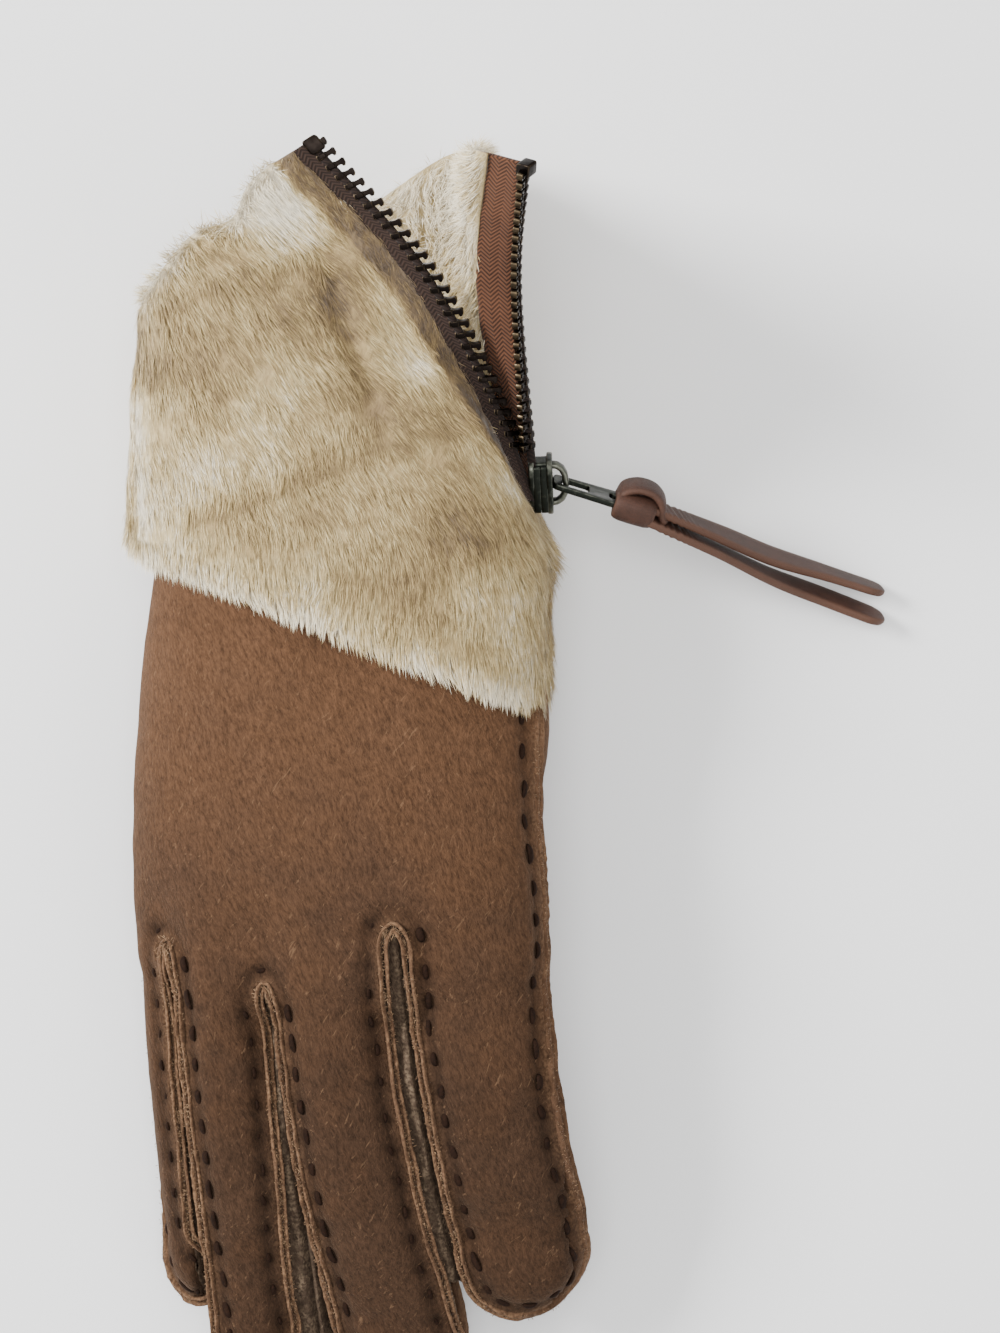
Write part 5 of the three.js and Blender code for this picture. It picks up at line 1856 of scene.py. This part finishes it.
@dataclass
class SliderAndPull:
    """The slider at the bottom of the zip, and the metal tab and knotted leather on its bridge."""

    at: Point = (42.2, 38.5, 29.8)
    travel: Point = (-0.04, 0.9, 0.43)
    out: Point = (1, 0.03, 0.03)
    long: float = 12.0
    wide: float = 8.0
    plate: float = 1.2
    corner: float = 2.0
    throat: float = 2.6
    rounding: float = 0.32
    bridge_long: float = 8.4
    bridge_wide: float = 2.6
    bridge_thick: float = 1.3
    bridge_high: float = 2.4
    lean: float = 20.0
    tab_wide: float = 6.0
    tab_thick: float = 1.3
    rail: float = 1.1
    slot: float = 7.2
    tab_long: float = 16.5
    strap_wide: float = 6.6
    strap_thick: float = 1.6
    strap_start: float = 14.0
    crease: float = 0.17
    knot_back: float = 1.5
    knot: Point = (10.5, 9.0, 6.4)
    apart: tuple[float, float] = (1.0, 3.1)
    strap_path: tuple[Point, ...] = (
        (14, -3.9, 0), (22, -7.2, -2.6), (34, -12, -9.5), (46, -16.9, -17.8), (58, -20.7, -24.3),
        (71.5, -25.4, -26.2),
    )

    def __post_init__(self) -> None:
        """Works out the slider's and the tab's frames."""
        travel = unit(np.array(self.travel, float))
        out = np.array(self.out, float)
        out = unit(out - travel * (out @ travel))
        self.across = np.cross(travel, out)
        self.slider_frame = frame_of(self.across, travel, out, np.array(self.at))
        self.pivot = np.array(self.at) + out * (self.throat / 2 + self.plate + self.bridge_high / 2)
        turn = Matrix.Rotation(math.radians(self.lean), 3, Vector(self.across))
        self.pull = unit(np.array(turn @ Vector(out)))
        self.face = np.cross(self.across, self.pull)
        self.tab_frame = frame_of(self.across, self.pull, self.face, self.pivot)

    def slider(self, looks: Looks) -> Piece:
        """Two shaped plates, the wedge between them, and the arched bridge on the outer one."""
        w, l = self.wide / 2, self.long / 2
        half = np.array([(w * 0.62, -l), (w * 0.84, -l + 1.2), (w * 0.84, -0.6), (w, 1.6), (w, l - 1.6),
                         (w * 0.82, l - 0.3), (w * 0.3, l)])
        shield = np.roll(np.vstack([half, half[::-1] * (-1, 1)]), 1, axis=0)
        low, high = self.throat / 2, self.throat / 2 + self.plate
        f = self.slider_frame
        parts = [
            bevelled("outer_plate", shield, low, high, self.rounding, f),
            bevelled("inner_plate", shield, -high, -low, self.rounding, f),
            bevelled("wedge", rounded(w * 1.1, self.long * 0.9, 0.6), -low - 0.1, low + 0.1, 0.05, f),
        ]
        for side in (-1, 1):
            rail = rounded(0.9, self.long * 0.86, 0.4, (side * (w * 0.84 - 0.35), -0.3))
            parts.append(bevelled("flange", rail, 0.02, low + 0.2, 0.15, f))
            parts.append(bevelled("flange", rail, -low - 0.2, -0.02, 0.15, f))
        parts.append(self.bridge(high))
        return finished(marked_wear_and_glint(merged("slider_body", parts)), looks.gunmetal)

    def bridge(self, foot: float) -> Piece:
        """The arch that the tab hangs on, standing on the outer plate.

        Args:
            foot: the height of the plate's face in the slider's frame.

        Returns:
            The arch.
        """
        half = self.bridge_long / 2
        rise = [(0, 0), (0.15, 1.2), (0.9, 2.2), (2.2, 2.85)]
        arch = [(d - half, z) for d, z in rise] + [(0, 3.1)] + [(half - d, z) for d, z in rise[::-1]]
        path = respaced(np.array([(0, y, foot - 0.3 + z) for y, z in arch], float), 0.35)
        along = unit(np.gradient(path, axis=0))
        side = np.tile([1.0, 0, 0], (len(path), 1))
        angles = np.radians(np.arange(22.5, 360, 45))
        outline = squared(angles, 0.6, 0.6) * np.array([self.bridge_wide, self.bridge_thick]) / 2
        points, faces, ends = sweep(path, side, np.cross(side, along), outline)
        piece = turned_out(make_mesh("bridge", points, [faces, ends]))
        piece.data.transform(Matrix.Scale(MM, 4) @ self.slider_frame @ Matrix.Scale(1 / MM, 4))
        return piece

    def tab(self, looks: Looks) -> Piece:
        """The metal tab: a bar under the bridge, two rails, and a plate with an eye."""
        length, thick = self.tab_long, self.tab_thick / 2
        wide, middle = self.tab_wide, (length - self.tab_thick) / 2
        body = rounded(wide, length + self.tab_thick, 1.3, (0, middle), wide + 1.2)
        hole = rounded(wide - 2 * self.rail, self.slot - 1.2, 0.7, (0, self.slot / 2))
        eye = rounded(2.6, 1.6, 0.7, (0, length - 4.6))
        plate = bevelled("tab_plate", body, -thick, thick, 0.28, self.tab_frame, (hole, eye))
        return finished(marked_wear_and_glint(plate), looks.gunmetal)

    def strap(self, looks: Looks) -> Piece:
        """The leather: two tails to the floor, a knot wrapped round them, and the loop behind it."""
        parts = []
        corner = np.array([(-1, -0.55), (-0.94, -0.92), (-0.6, -1)])
        lower = np.vstack([corner, corner[::-1] * (-1, 1)])
        outline = np.vstack([lower, -lower]) / 2
        for side in (-1, 1):
            given = [self.pivot + np.array([x, y + side * np.interp(i, (0, 5), self.apart), z])
                     for i, (x, y, z) in enumerate(self.strap_path)]
            path = smooth_path(given, 0.36)
            along = unit(np.gradient(path, axis=0))
            wide = unit(self.across - along * (along @ self.across)[:, None])
            up = np.cross(wide, along)
            run = np.linspace(0, 1, len(path))
            curl = 0.35 * np.sin(run * 7 + side)[:, None]
            wide, up = unit(wide + up * curl * 0.25), unit(up - wide * curl * 0.25)
            left = (1 - run) * np.linalg.norm(path[-1] - path[0])
            tip = np.sqrt(np.clip(left / 4, 0.02, 1) * (2 - np.clip(left / 4, 0.02, 1)))
            thick = np.full(len(path), self.strap_thick) * np.clip(tip + 0.3, 0, 1)
            size = np.stack([self.strap_wide * tip, thick], axis=1)
            shape = outline[None] * size[:, None]
            arc = run * np.linalg.norm(np.diff(path, axis=0), axis=1).sum()
            creases = self.crease * np.sin(4.1 * arc + 0.8 * np.sin(1.3 * arc))
            creases = creases * np.exp(-((arc - 11) / 4.5) ** 2)
            shape[..., 1] *= 1 + creases[:, None]
            points, faces, ends = sweep(path, wide, up, shape)
            keep_above(points, 0.12)
            rub = np.tile((np.abs(outline[:, 0]) > 0.4).astype(float), len(path))
            parts.append((points, [faces, ends], {"rub": rub}))
        parts += self.knot_parts()
        return finished(turned_out(joined("leather_pull", parts)), looks.leather)

    def knot_parts(self) -> list[Part]:
        """A smooth sleeve wrapped round the tails, and a curved loop that stands behind it."""
        width, length, height = self.knot
        middle = self.pivot + self.pull * (self.strap_start + length / 2 - self.knot_back)
        angles = np.radians(np.arange(0, 360, 22.5))
        flat = squared(angles, 0.5, 0.8) / 2
        c, s = squared(np.linspace(0, 2 * np.pi, 64, endpoint=False), 0.6, 0.6).T
        across, out = c * (width / 2 - 1.1), s * (height / 2 - 1.1)
        path = middle + np.outer(across, self.across) + np.outer(0.1 * across, self.pull)
        path = path + np.outer(out, self.face)
        along = unit(np.roll(path, -1, axis=0) - np.roll(path, 1, axis=0))
        band = unit(self.pull - along * (along @ self.pull)[:, None])
        points, faces, _ = sweep(path, band, np.cross(band, along), flat * np.array([length, 2.4]))
        count = len(flat)
        first, last = np.arange(count), len(points) - count + np.arange(count)
        close = np.stack([last, np.roll(last, -1), np.roll(first, -1), first], axis=1)
        sleeve = (points, [np.vstack([faces, close])],
                  {"rub": np.tile((np.abs(flat[:, 0]) > 0.46) * 0.5, len(path))})
        knots = [(-3.8, -1.0), (-3.2, -3.2), (-0.6, -4.6), (2.6, -4.5), (4.8, -2.9), (5.6, -0.6),
                 (6.6, 0.9)]
        path = smooth_path([middle + self.pull * p + self.face * q for p, q in knots], 0.5)
        along = unit(np.gradient(path, axis=0))
        band = np.tile(self.across, (len(path), 1))
        points, faces, ends = sweep(path, band, np.cross(band, along),
                                    flat * np.array([self.strap_wide + 0.6, 2.0]))
        loop = (points, [faces, ends], {"rub": np.tile((np.abs(flat[:, 0]) > 0.46) * 0.5, len(path))})
        return [sleeve, loop]

    def build(self, looks: Looks) -> None:
        """Builds the slider and the pull."""
        place(self.slider(looks), GLOVE, Slot.GUNMETAL, "zip_slider")
        place(self.tab(looks), PULL, Slot.GUNMETAL, "pull_tab")
        place(self.strap(looks), PULL, Slot.LEATHER, "pull_strap")


def shade(red: int, green: int, blue: int) -> tuple[float, float, float, float]:
    """A screen colour from 0 to 255 as the shader's own linear colour."""
    return (*(((c / 255 + 0.055) / 1.055) ** 2.4 if c > 10 else c / 3295 for c in (red, green, blue)), 1.0)


def fibre_group() -> bpy.types.NodeTree:
    """Fine fibres that run one way, as on suede: a value for colour and a height for bump."""
    nodes, given, result = new_tree("Fibre nap", "Shader", {
        "Turn": ("Float", 0.35), "Fineness": ("Float", 1.0), "Length": ("Float", 4.0),
        "Bend": ("Float", 0.003),
    }, {"Fibres": "Float", "Height": "Float"})
    where = nodes.on_object()
    bent = nodes.vector("ADD", where, nodes.shifts(where, 70.0, 2.0, given["Bend"]))
    turn = nodes.xyz(0.0, 0.0, given["Turn"])
    lie = nodes.add("ShaderNodeMapping", {"Vector": bent, "Rotation": turn}).outputs[0]
    thin = nodes.math("DIVIDE", given["Fineness"], given["Length"])
    lie = nodes.vector("MULTIPLY", lie, nodes.xyz(given["Fineness"], thin, given["Fineness"]))
    coarse, fine = (nodes.noise(lie, *sizes, 0.6).outputs["Fac"] for sizes in ((900.0, 3.0), (2600.0, 2.0)))
    both = nodes.blend(coarse, fine, 0.6)
    nodes.put(nodes.spread(both, 0.34, 0.66), result["Fibres"])
    nodes.put(both, result["Height"])
    return nodes.tree


def patch_group() -> bpy.types.NodeTree:
    """Soft patches of two sizes, for the uneven tone of hides, wool and old metal."""
    nodes, given, result = new_tree("Patches", "Shader", {
        "Large": ("Float", 40.0), "Small": ("Float", 170.0),
    }, {"Patches": "Float"})
    where = nodes.on_object()
    large, small = (nodes.noise(where, given[key], detail).outputs["Fac"]
                    for key, detail in (("Large", 3.0), ("Small", 4.0)))
    nodes.put(nodes.spread(nodes.blend(large, small, 0.6), 0.36, 0.64), result["Patches"])
    return nodes.tree


def wear_and_glint_group() -> bpy.types.NodeTree:
    """Where metal is painted bright along its outer edges, as rubbed wear and a painted highlight, broken up
    by scratches.
    """
    nodes, given, result = new_tree("Rubbed edges", "Shader", {
        "Amount": ("Float", 1.0), "Scratches": ("Float", 900.0),
    }, {"Rubbed": "Float", "Height": "Float"})
    edge = nodes.add("ShaderNodeAttribute", attribute_name="wear").outputs["Fac"]
    noise = nodes.noise(nodes.on_object(), given["Scratches"], 3.0).outputs["Fac"]
    both = nodes.math("MULTIPLY", nodes.math("ADD", edge, nodes.math("SUBTRACT", noise, 0.5)),
                      given["Amount"])
    nodes.put(nodes.spread(both, 0.25, 0.75), result["Rubbed"])
    nodes.put(noise, result["Height"])
    return nodes.tree


@dataclass
class Groups:
    """The effects that several materials share."""

    fibres: bpy.types.NodeTree = field(default_factory=fibre_group)
    patches: bpy.types.NodeTree = field(default_factory=patch_group)
    wear: bpy.types.NodeTree = field(default_factory=wear_and_glint_group)


class Paint:
    """A material that is being made: its nodes and its surface shader."""

    def __init__(self, name: str, **shader: object) -> None:
        """Starts a material.

        Args:
            name: its name.
            shader: plain values of the surface shader, with underscores for spaces in their names.
        """
        self.material = bpy.data.materials.new(name)
        self.material.use_nodes = True
        self.nodes = Nodes(self.material.node_tree)
        self.surface = next(node for node in self.material.node_tree.nodes
                            if node.type == "BSDF_PRINCIPLED")
        for key, value in shader.items():
            self.surface.inputs[key.replace("_", " ")].default_value = value

    def feed(self, label: str, socket: Socket) -> None:
        """Feeds one of the surface shader's inputs."""
        self.nodes.tree.links.new(socket, self.surface.inputs[label])

    def group(self, tree: bpy.types.NodeTree, **values: float) -> bpy.types.Node:
        """A shared group with its own values."""
        node = self.nodes.add("ShaderNodeGroup", None, node_tree=tree)
        for key, value in values.items():
            node.inputs[key].default_value = value
        return node

    def mark(self, name: str) -> Socket:
        """A value that the mesh carries."""
        return self.nodes.add("ShaderNodeAttribute", attribute_name=name).outputs["Fac"]

    def bump(self, height: Socket, strength: float, depth: float) -> None:
        """Roughens the surface by a height of so many millimetres."""
        node = self.nodes.add("ShaderNodeBump",
                              {"Height": height, "Strength": strength, "Distance": depth * MM})
        self.feed("Normal", node.outputs[0])


@dataclass(frozen=True)
class SuedeFinish:
    """Suede: patchy tone, streaks of nap, painted shade in its troughs, dimples and creases, and pale where
    it is rubbed or cut.
    """

    name: str
    wrist: Colour
    finger: Colour
    rubbed: Colour = (134, 104, 78)
    # Share of the colour kept under full painted shade.
    shaded: float = 0.5
    fineness: float = 1.7
    streaks: float = 0.9
    darkens: tuple[float, float] = (0.012, -0.095)  # from this y to that one, in metres

    def made(self, groups: Groups) -> Finish:
        """The material."""
        paint = Paint(self.name, Roughness=0.95, Specular_IOR_Level=0.1, Sheen_Weight=0.14,
                      Sheen_Roughness=0.4, Sheen_Tint=shade(226, 190, 160))
        n = paint.nodes
        where = n.on_object()
        y = n.add("ShaderNodeSeparateXYZ", {0: where}).outputs[1]
        patches = paint.group(groups.patches, Large=38.0, Small=150.0).outputs[0]
        uneven = n.math("MULTIPLY", n.math("SUBTRACT", patches, 0.5), 0.7)
        toward = n.math("ADD", n.spread(y, *self.darkens), uneven)
        colour = n.mix(n.math("MINIMUM", n.math("MAXIMUM", toward, 0.0), 1.0), shade(*self.wrist),
                       shade(*self.finger))
        fibres = paint.group(groups.fibres, Turn=-0.35, Fineness=self.fineness, Length=3.2)
        light = n.spread(fibres.outputs["Fibres"], 0.0, 1.0, 1 - 0.5 * self.streaks,
                         1 + 0.55 * self.streaks)
        # Painted shade from the mesh's mark in troughs, dimples and creases.
        dark = n.spread(paint.mark("press"), 0.0, 1.0, 1.0, self.shaded)
        patchy = n.spread(patches, 0.0, 1.0, 0.8, 1.18)
        tone = n.math("MULTIPLY", n.math("MULTIPLY", light, dark), patchy)
        colour = n.dimmed(colour, tone)
        stray = paint.group(groups.fibres, Turn=0.5, Fineness=1.3, Length=9.0, Bend=0.006).outputs["Fibres"]
        colour = n.mix(n.spread(stray, 0.8, 1.0, 0.0, 0.35 * self.streaks), colour, shade(*self.rubbed))
        speck = n.noise(where, 1500.0, 2.0).outputs["Fac"]
        cut = n.math("MULTIPLY", paint.mark("rub"), n.spread(speck, 0.4, 0.62, 0.1, 0.9))
        colour = n.mix(cut, colour, shade(*self.rubbed))
        paint.feed("Base Color", colour)
        paint.bump(fibres.outputs["Height"], 1.0, 0.5)
        return paint.material


@dataclass(frozen=True)
class WoolFinish:
    """Sheep's wool: from grey-brown and tan to cream, with painted shade toward the roots."""

    name: str
    tones: tuple[tuple[float, Colour], ...] = (
        (0.0, (98, 84, 70)), (0.25, (134, 112, 78)), (0.5, (174, 150, 104)), (0.75, (208, 188, 140)),
        (1.0, (240, 230, 206)),
    )
    strands: bool = True

    def made(self, groups: Groups) -> Finish:
        """The material."""
        paint = Paint(self.name, Roughness=0.8, Sheen_Weight=0.25, Sheen_Roughness=0.4,
                      Specular_IOR_Level=0.25)
        n = paint.nodes
        patches = paint.group(groups.patches, Large=70.0, Small=420.0).outputs[0]
        tone = n.math("ADD", paint.mark("tone"), n.math("MULTIPLY", n.math("SUBTRACT", patches, 0.5), 0.3))
        if self.strands:
            chance = n.math("SUBTRACT", paint.mark("chance"), 0.5)
            tone = n.math("ADD", tone, n.math("MULTIPLY", chance, 0.34))
        ramp = n.add("ShaderNodeValToRGB", {"Fac": tone})
        stops = ramp.color_ramp.elements
        for at, _ in self.tones[1:-1]:
            stops.new(at)
        for stop, (at, colour) in zip(stops, self.tones):
            stop.position, stop.color = at, shade(*colour)
        colour = ramp.outputs["Color"]
        if self.strands:
            # Lighter at the tips, and darker toward the roots as painted shade in the pile.
            colour = n.dimmed(colour, n.spread(paint.mark("tip"), 0.0, 1.0, 0.5, 1.12))
        else:
            # Streaks mixed toward dark brown: the fibres' texture, and on the hide under the wool also
            # painted shade between the strands.
            fibres = paint.group(groups.fibres, Turn=0.3, Fineness=0.6, Length=3.0)
            colour = n.mix(n.spread(fibres.outputs["Fibres"], 0.0, 1.0, 0.55, 0.1), colour,
                           shade(95, 78, 56))
            paint.bump(fibres.outputs["Height"], 0.9, 0.8)
        paint.feed("Base Color", colour)
        return paint.material


@dataclass(frozen=True)
class TapeFinish:
    """Woven herringbone tape, from where each point lies on it in millimetres."""

    name: str
    dark: Colour
    light: Colour
    column: float = 2.1
    rib: float = 1.05

    def made(self, groups: Groups) -> Finish:
        """The material."""
        paint = Paint(self.name, Roughness=0.85, Sheen_Weight=0.05, Specular_IOR_Level=0.15)
        n = paint.nodes
        weave = n.add("ShaderNodeAttribute", attribute_name="weave").outputs["Vector"]
        parts = n.add("ShaderNodeSeparateXYZ", {0: weave})
        zigzag = n.math("PINGPONG", parts.outputs[0], self.column)
        run = n.math("ADD", parts.outputs[1], n.math("MULTIPLY", zigzag, 0.9))
        rib = n.math("SINE", n.math("MULTIPLY", run, 2 * math.pi / self.rib))
        rib = n.spread(rib, -1.0, 1.0)
        patches = paint.group(groups.patches, Large=60.0, Small=700.0).outputs[0]
        share = n.blend(rib, patches, 0.75)
        paint.feed("Base Color", n.mix(share, shade(*self.dark), shade(*self.light)))
        paint.bump(rib, 0.7, 0.16)
        return paint.material


@dataclass(frozen=True)
class MetalFinish:
    """Darkened metal, bright along its edges as rubbed wear and a painted highlight."""

    name: str
    base: Colour
    bright: Colour
    amount: float = 1.0
    roughness: float = 0.36

    def made(self, groups: Groups) -> Finish:
        """The material."""
        paint = Paint(self.name, Metallic=1.0)
        n = paint.nodes
        wear = paint.group(groups.wear, Amount=self.amount, Scratches=800.0)
        patches = paint.group(groups.patches, Large=180.0, Small=900.0).outputs[0]
        dull = n.mix(n.math("MULTIPLY", patches, 0.5), shade(*self.base),
                     shade(*(max(c - 22, 8) for c in self.base)))
        # Brighter edges: rubbed wear and a painted highlight.
        paint.feed("Base Color", n.mix(wear.outputs["Rubbed"], dull, shade(*self.bright)))
        paint.feed("Roughness", n.spread(patches, 0.0, 1.0, self.roughness - 0.08, self.roughness + 0.16))
        paint.bump(wear.outputs["Height"], 0.25, 0.06)
        return paint.material


@dataclass(frozen=True)
class LeatherFinish:
    """Grained leather with paler cut edges."""

    name: str
    base: Colour
    edge: Colour

    def made(self, groups: Groups) -> Finish:
        """The material."""
        paint = Paint(self.name, Roughness=0.6, Specular_IOR_Level=0.25)
        n = paint.nodes
        grain = n.add("ShaderNodeTexVoronoi", {"Vector": n.on_object(), "Scale": 1500.0},
                      feature="DISTANCE_TO_EDGE").outputs["Distance"]
        grain = n.spread(grain, 0.0, 0.12)
        patches = paint.group(groups.patches, Large=110.0, Small=500.0).outputs[0]
        dark, light, crease = (shade(*(int(c * share) for c in self.base)) for share in (0.82, 1.1, 0.5))
        base = n.mix(n.spread(grain, 0.0, 1.0, 0.35, 0.0), n.mix(patches, dark, light), crease)
        paint.feed("Base Color", n.mix(n.math("MULTIPLY", paint.mark("rub"), 0.6), base, shade(*self.edge)))
        paint.bump(grain, 0.4, 0.12)
        return paint.material


@dataclass(frozen=True)
class ThreadFinish:
    """Waxed thread with its twist."""

    name: str
    dark: Colour
    light: Colour

    def made(self, groups: Groups) -> Finish:
        """The material."""
        paint = Paint(self.name, Roughness=0.85, Specular_IOR_Level=0.1)
        n = paint.nodes
        fibres = paint.group(groups.fibres, Turn=0.8, Fineness=1.6, Length=3.0)
        paint.feed("Base Color", n.mix(fibres.outputs["Fibres"], shade(*self.dark), shade(*self.light)))
        paint.bump(fibres.outputs["Height"], 0.6, 0.25)
        return paint.material


class Looks:
    """Every material of the glove."""

    def __init__(self) -> None:
        """Makes them."""
        groups = Groups()
        self.suede = SuedeFinish("suede", (86, 61, 43), (56, 40, 29)).made(groups)
        self.edge = SuedeFinish("cut_suede", (92, 67, 49), (74, 54, 40), fineness=1.2).made(groups)
        gusset = SuedeFinish("gusset_suede", (68, 55, 44), (60, 48, 39), (128, 110, 90),
                             fineness=1.2, streaks=1.0)
        self.gusset = gusset.made(groups)
        self.lining = WoolFinish("clipped_lining", strands=False).made(groups)
        self.wool = WoolFinish("wool").made(groups)
        # The hide under the wool: its darker streaks are painted shade between the strands.
        self.wool_root = WoolFinish("wool_roots", strands=False).made(groups)
        fray = ((0.0, (84, 62, 44)), (0.4, (150, 120, 90)), (1.0, (196, 168, 132)))
        self.fray = WoolFinish("frayed_suede", fray).made(groups)
        self.thread = ThreadFinish("thread", (22, 13, 8), (40, 24, 15)).made(groups)
        self.tape = TapeFinish("tape", (30, 16, 11), (104, 67, 46)).made(groups)
        # The near tape: the tape's finish painted darker, as painted shade.
        self.tape_dark = TapeFinish("tape_dark", (28, 21, 18), (58, 44, 37), 1.1, 0.9).made(groups)
        self.cord = TapeFinish("tape_cord", (24, 18, 16), (44, 33, 28)).made(groups)
        self.teeth = MetalFinish("dark_brass", (34, 29, 26), (120, 104, 80), 0.5, 0.36).made(groups)
        self.gunmetal = MetalFinish("gunmetal", (47, 50, 45), (112, 113, 102), 0.7, 0.38).made(groups)
        self.leather = LeatherFinish("pull_leather", (66, 43, 34), (94, 66, 52)).made(groups)


@dataclass
class Studio:
    """A pale floor, soft light and the camera straight above."""

    eye: Point = (33.6, 0.0, 700.0)
    focal_px: float = 3190.0
    long_side_px: float = 1333.0
    sensor: float = 36.0
    floor_half: float = 8000.0

    def camera(self) -> None:
        """The camera that sees what the photograph shows."""
        lens = bpy.data.cameras.new("camera")
        lens.sensor_width = self.sensor
        lens.lens = self.focal_px * self.sensor / self.long_side_px
        lens.clip_start = 0.01
        eye = linked("camera", lens)
        eye.location = Vector(self.eye) * MM
        bpy.context.scene.camera = eye

    def floor(self) -> None:
        """The floor, which isn't part of the glove."""
        corners = np.array([(-1, -1, 0), (1, -1, 0), (1, 1, 0), (-1, 1, 0)]) * self.floor_half
        paint = Paint("floor", Roughness=0.7, Specular_IOR_Level=0.2)
        noise = paint.nodes.add("ShaderNodeTexNoise", {"Scale": 8.0}).outputs["Fac"]
        share = paint.nodes.spread(noise, 0, 1, 0.3, 0.7)
        paint.feed("Base Color", paint.nodes.mix(share, shade(249, 249, 249), shade(253, 253, 253)))
        finished(make_mesh("floor", corners, [np.array([[0, 1, 2, 3]])]), paint.material)

    def lamp(self, name: str, at: Point, size: float, watts: float) -> None:
        """A soft square lamp that shines on the glove."""
        light = bpy.data.lights.new(name, "AREA")
        light.energy, light.size = watts, size
        lamp = linked(name, light)
        lamp.location = at
        lamp.rotation_euler = (-Vector(at)).to_track_quat("-Z", "Y").to_euler()

    def build(self) -> None:
        """Sets the studio up."""
        self.camera()
        self.floor()
        self.lamp("key", (-1.1, 0.45, 0.85), 0.5, 38.0)
        self.lamp("fill", (0.9, -0.5, 0.9), 0.9, 5.0)
        self.lamp("top", (0.0, 0.1, 1.4), 0.8, 11.0)
        world = bpy.data.worlds.new("air")
        world.use_nodes = True
        air = next(node for node in world.node_tree.nodes if node.type == "BACKGROUND")
        air.inputs["Color"].default_value = (1, 1, 1, 1)
        air.inputs["Strength"].default_value = 0.8
        bpy.context.scene.world = world


def main() -> None:
    """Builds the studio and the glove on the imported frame."""
    logging.basicConfig(level=logging.INFO, format="%(name)s: %(message)s")
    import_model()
    Studio().build()
    looks, row, pile = Looks(), Row(), Pile()
    SuedeHand().build(looks, row, pile)
    cuff = ShearlingCuff()
    cuff.build(looks, pile)
    Zip(cuff.shape).build(looks, row)
    SliderAndPull().build(looks)


if __name__ == "__main__":
    main()
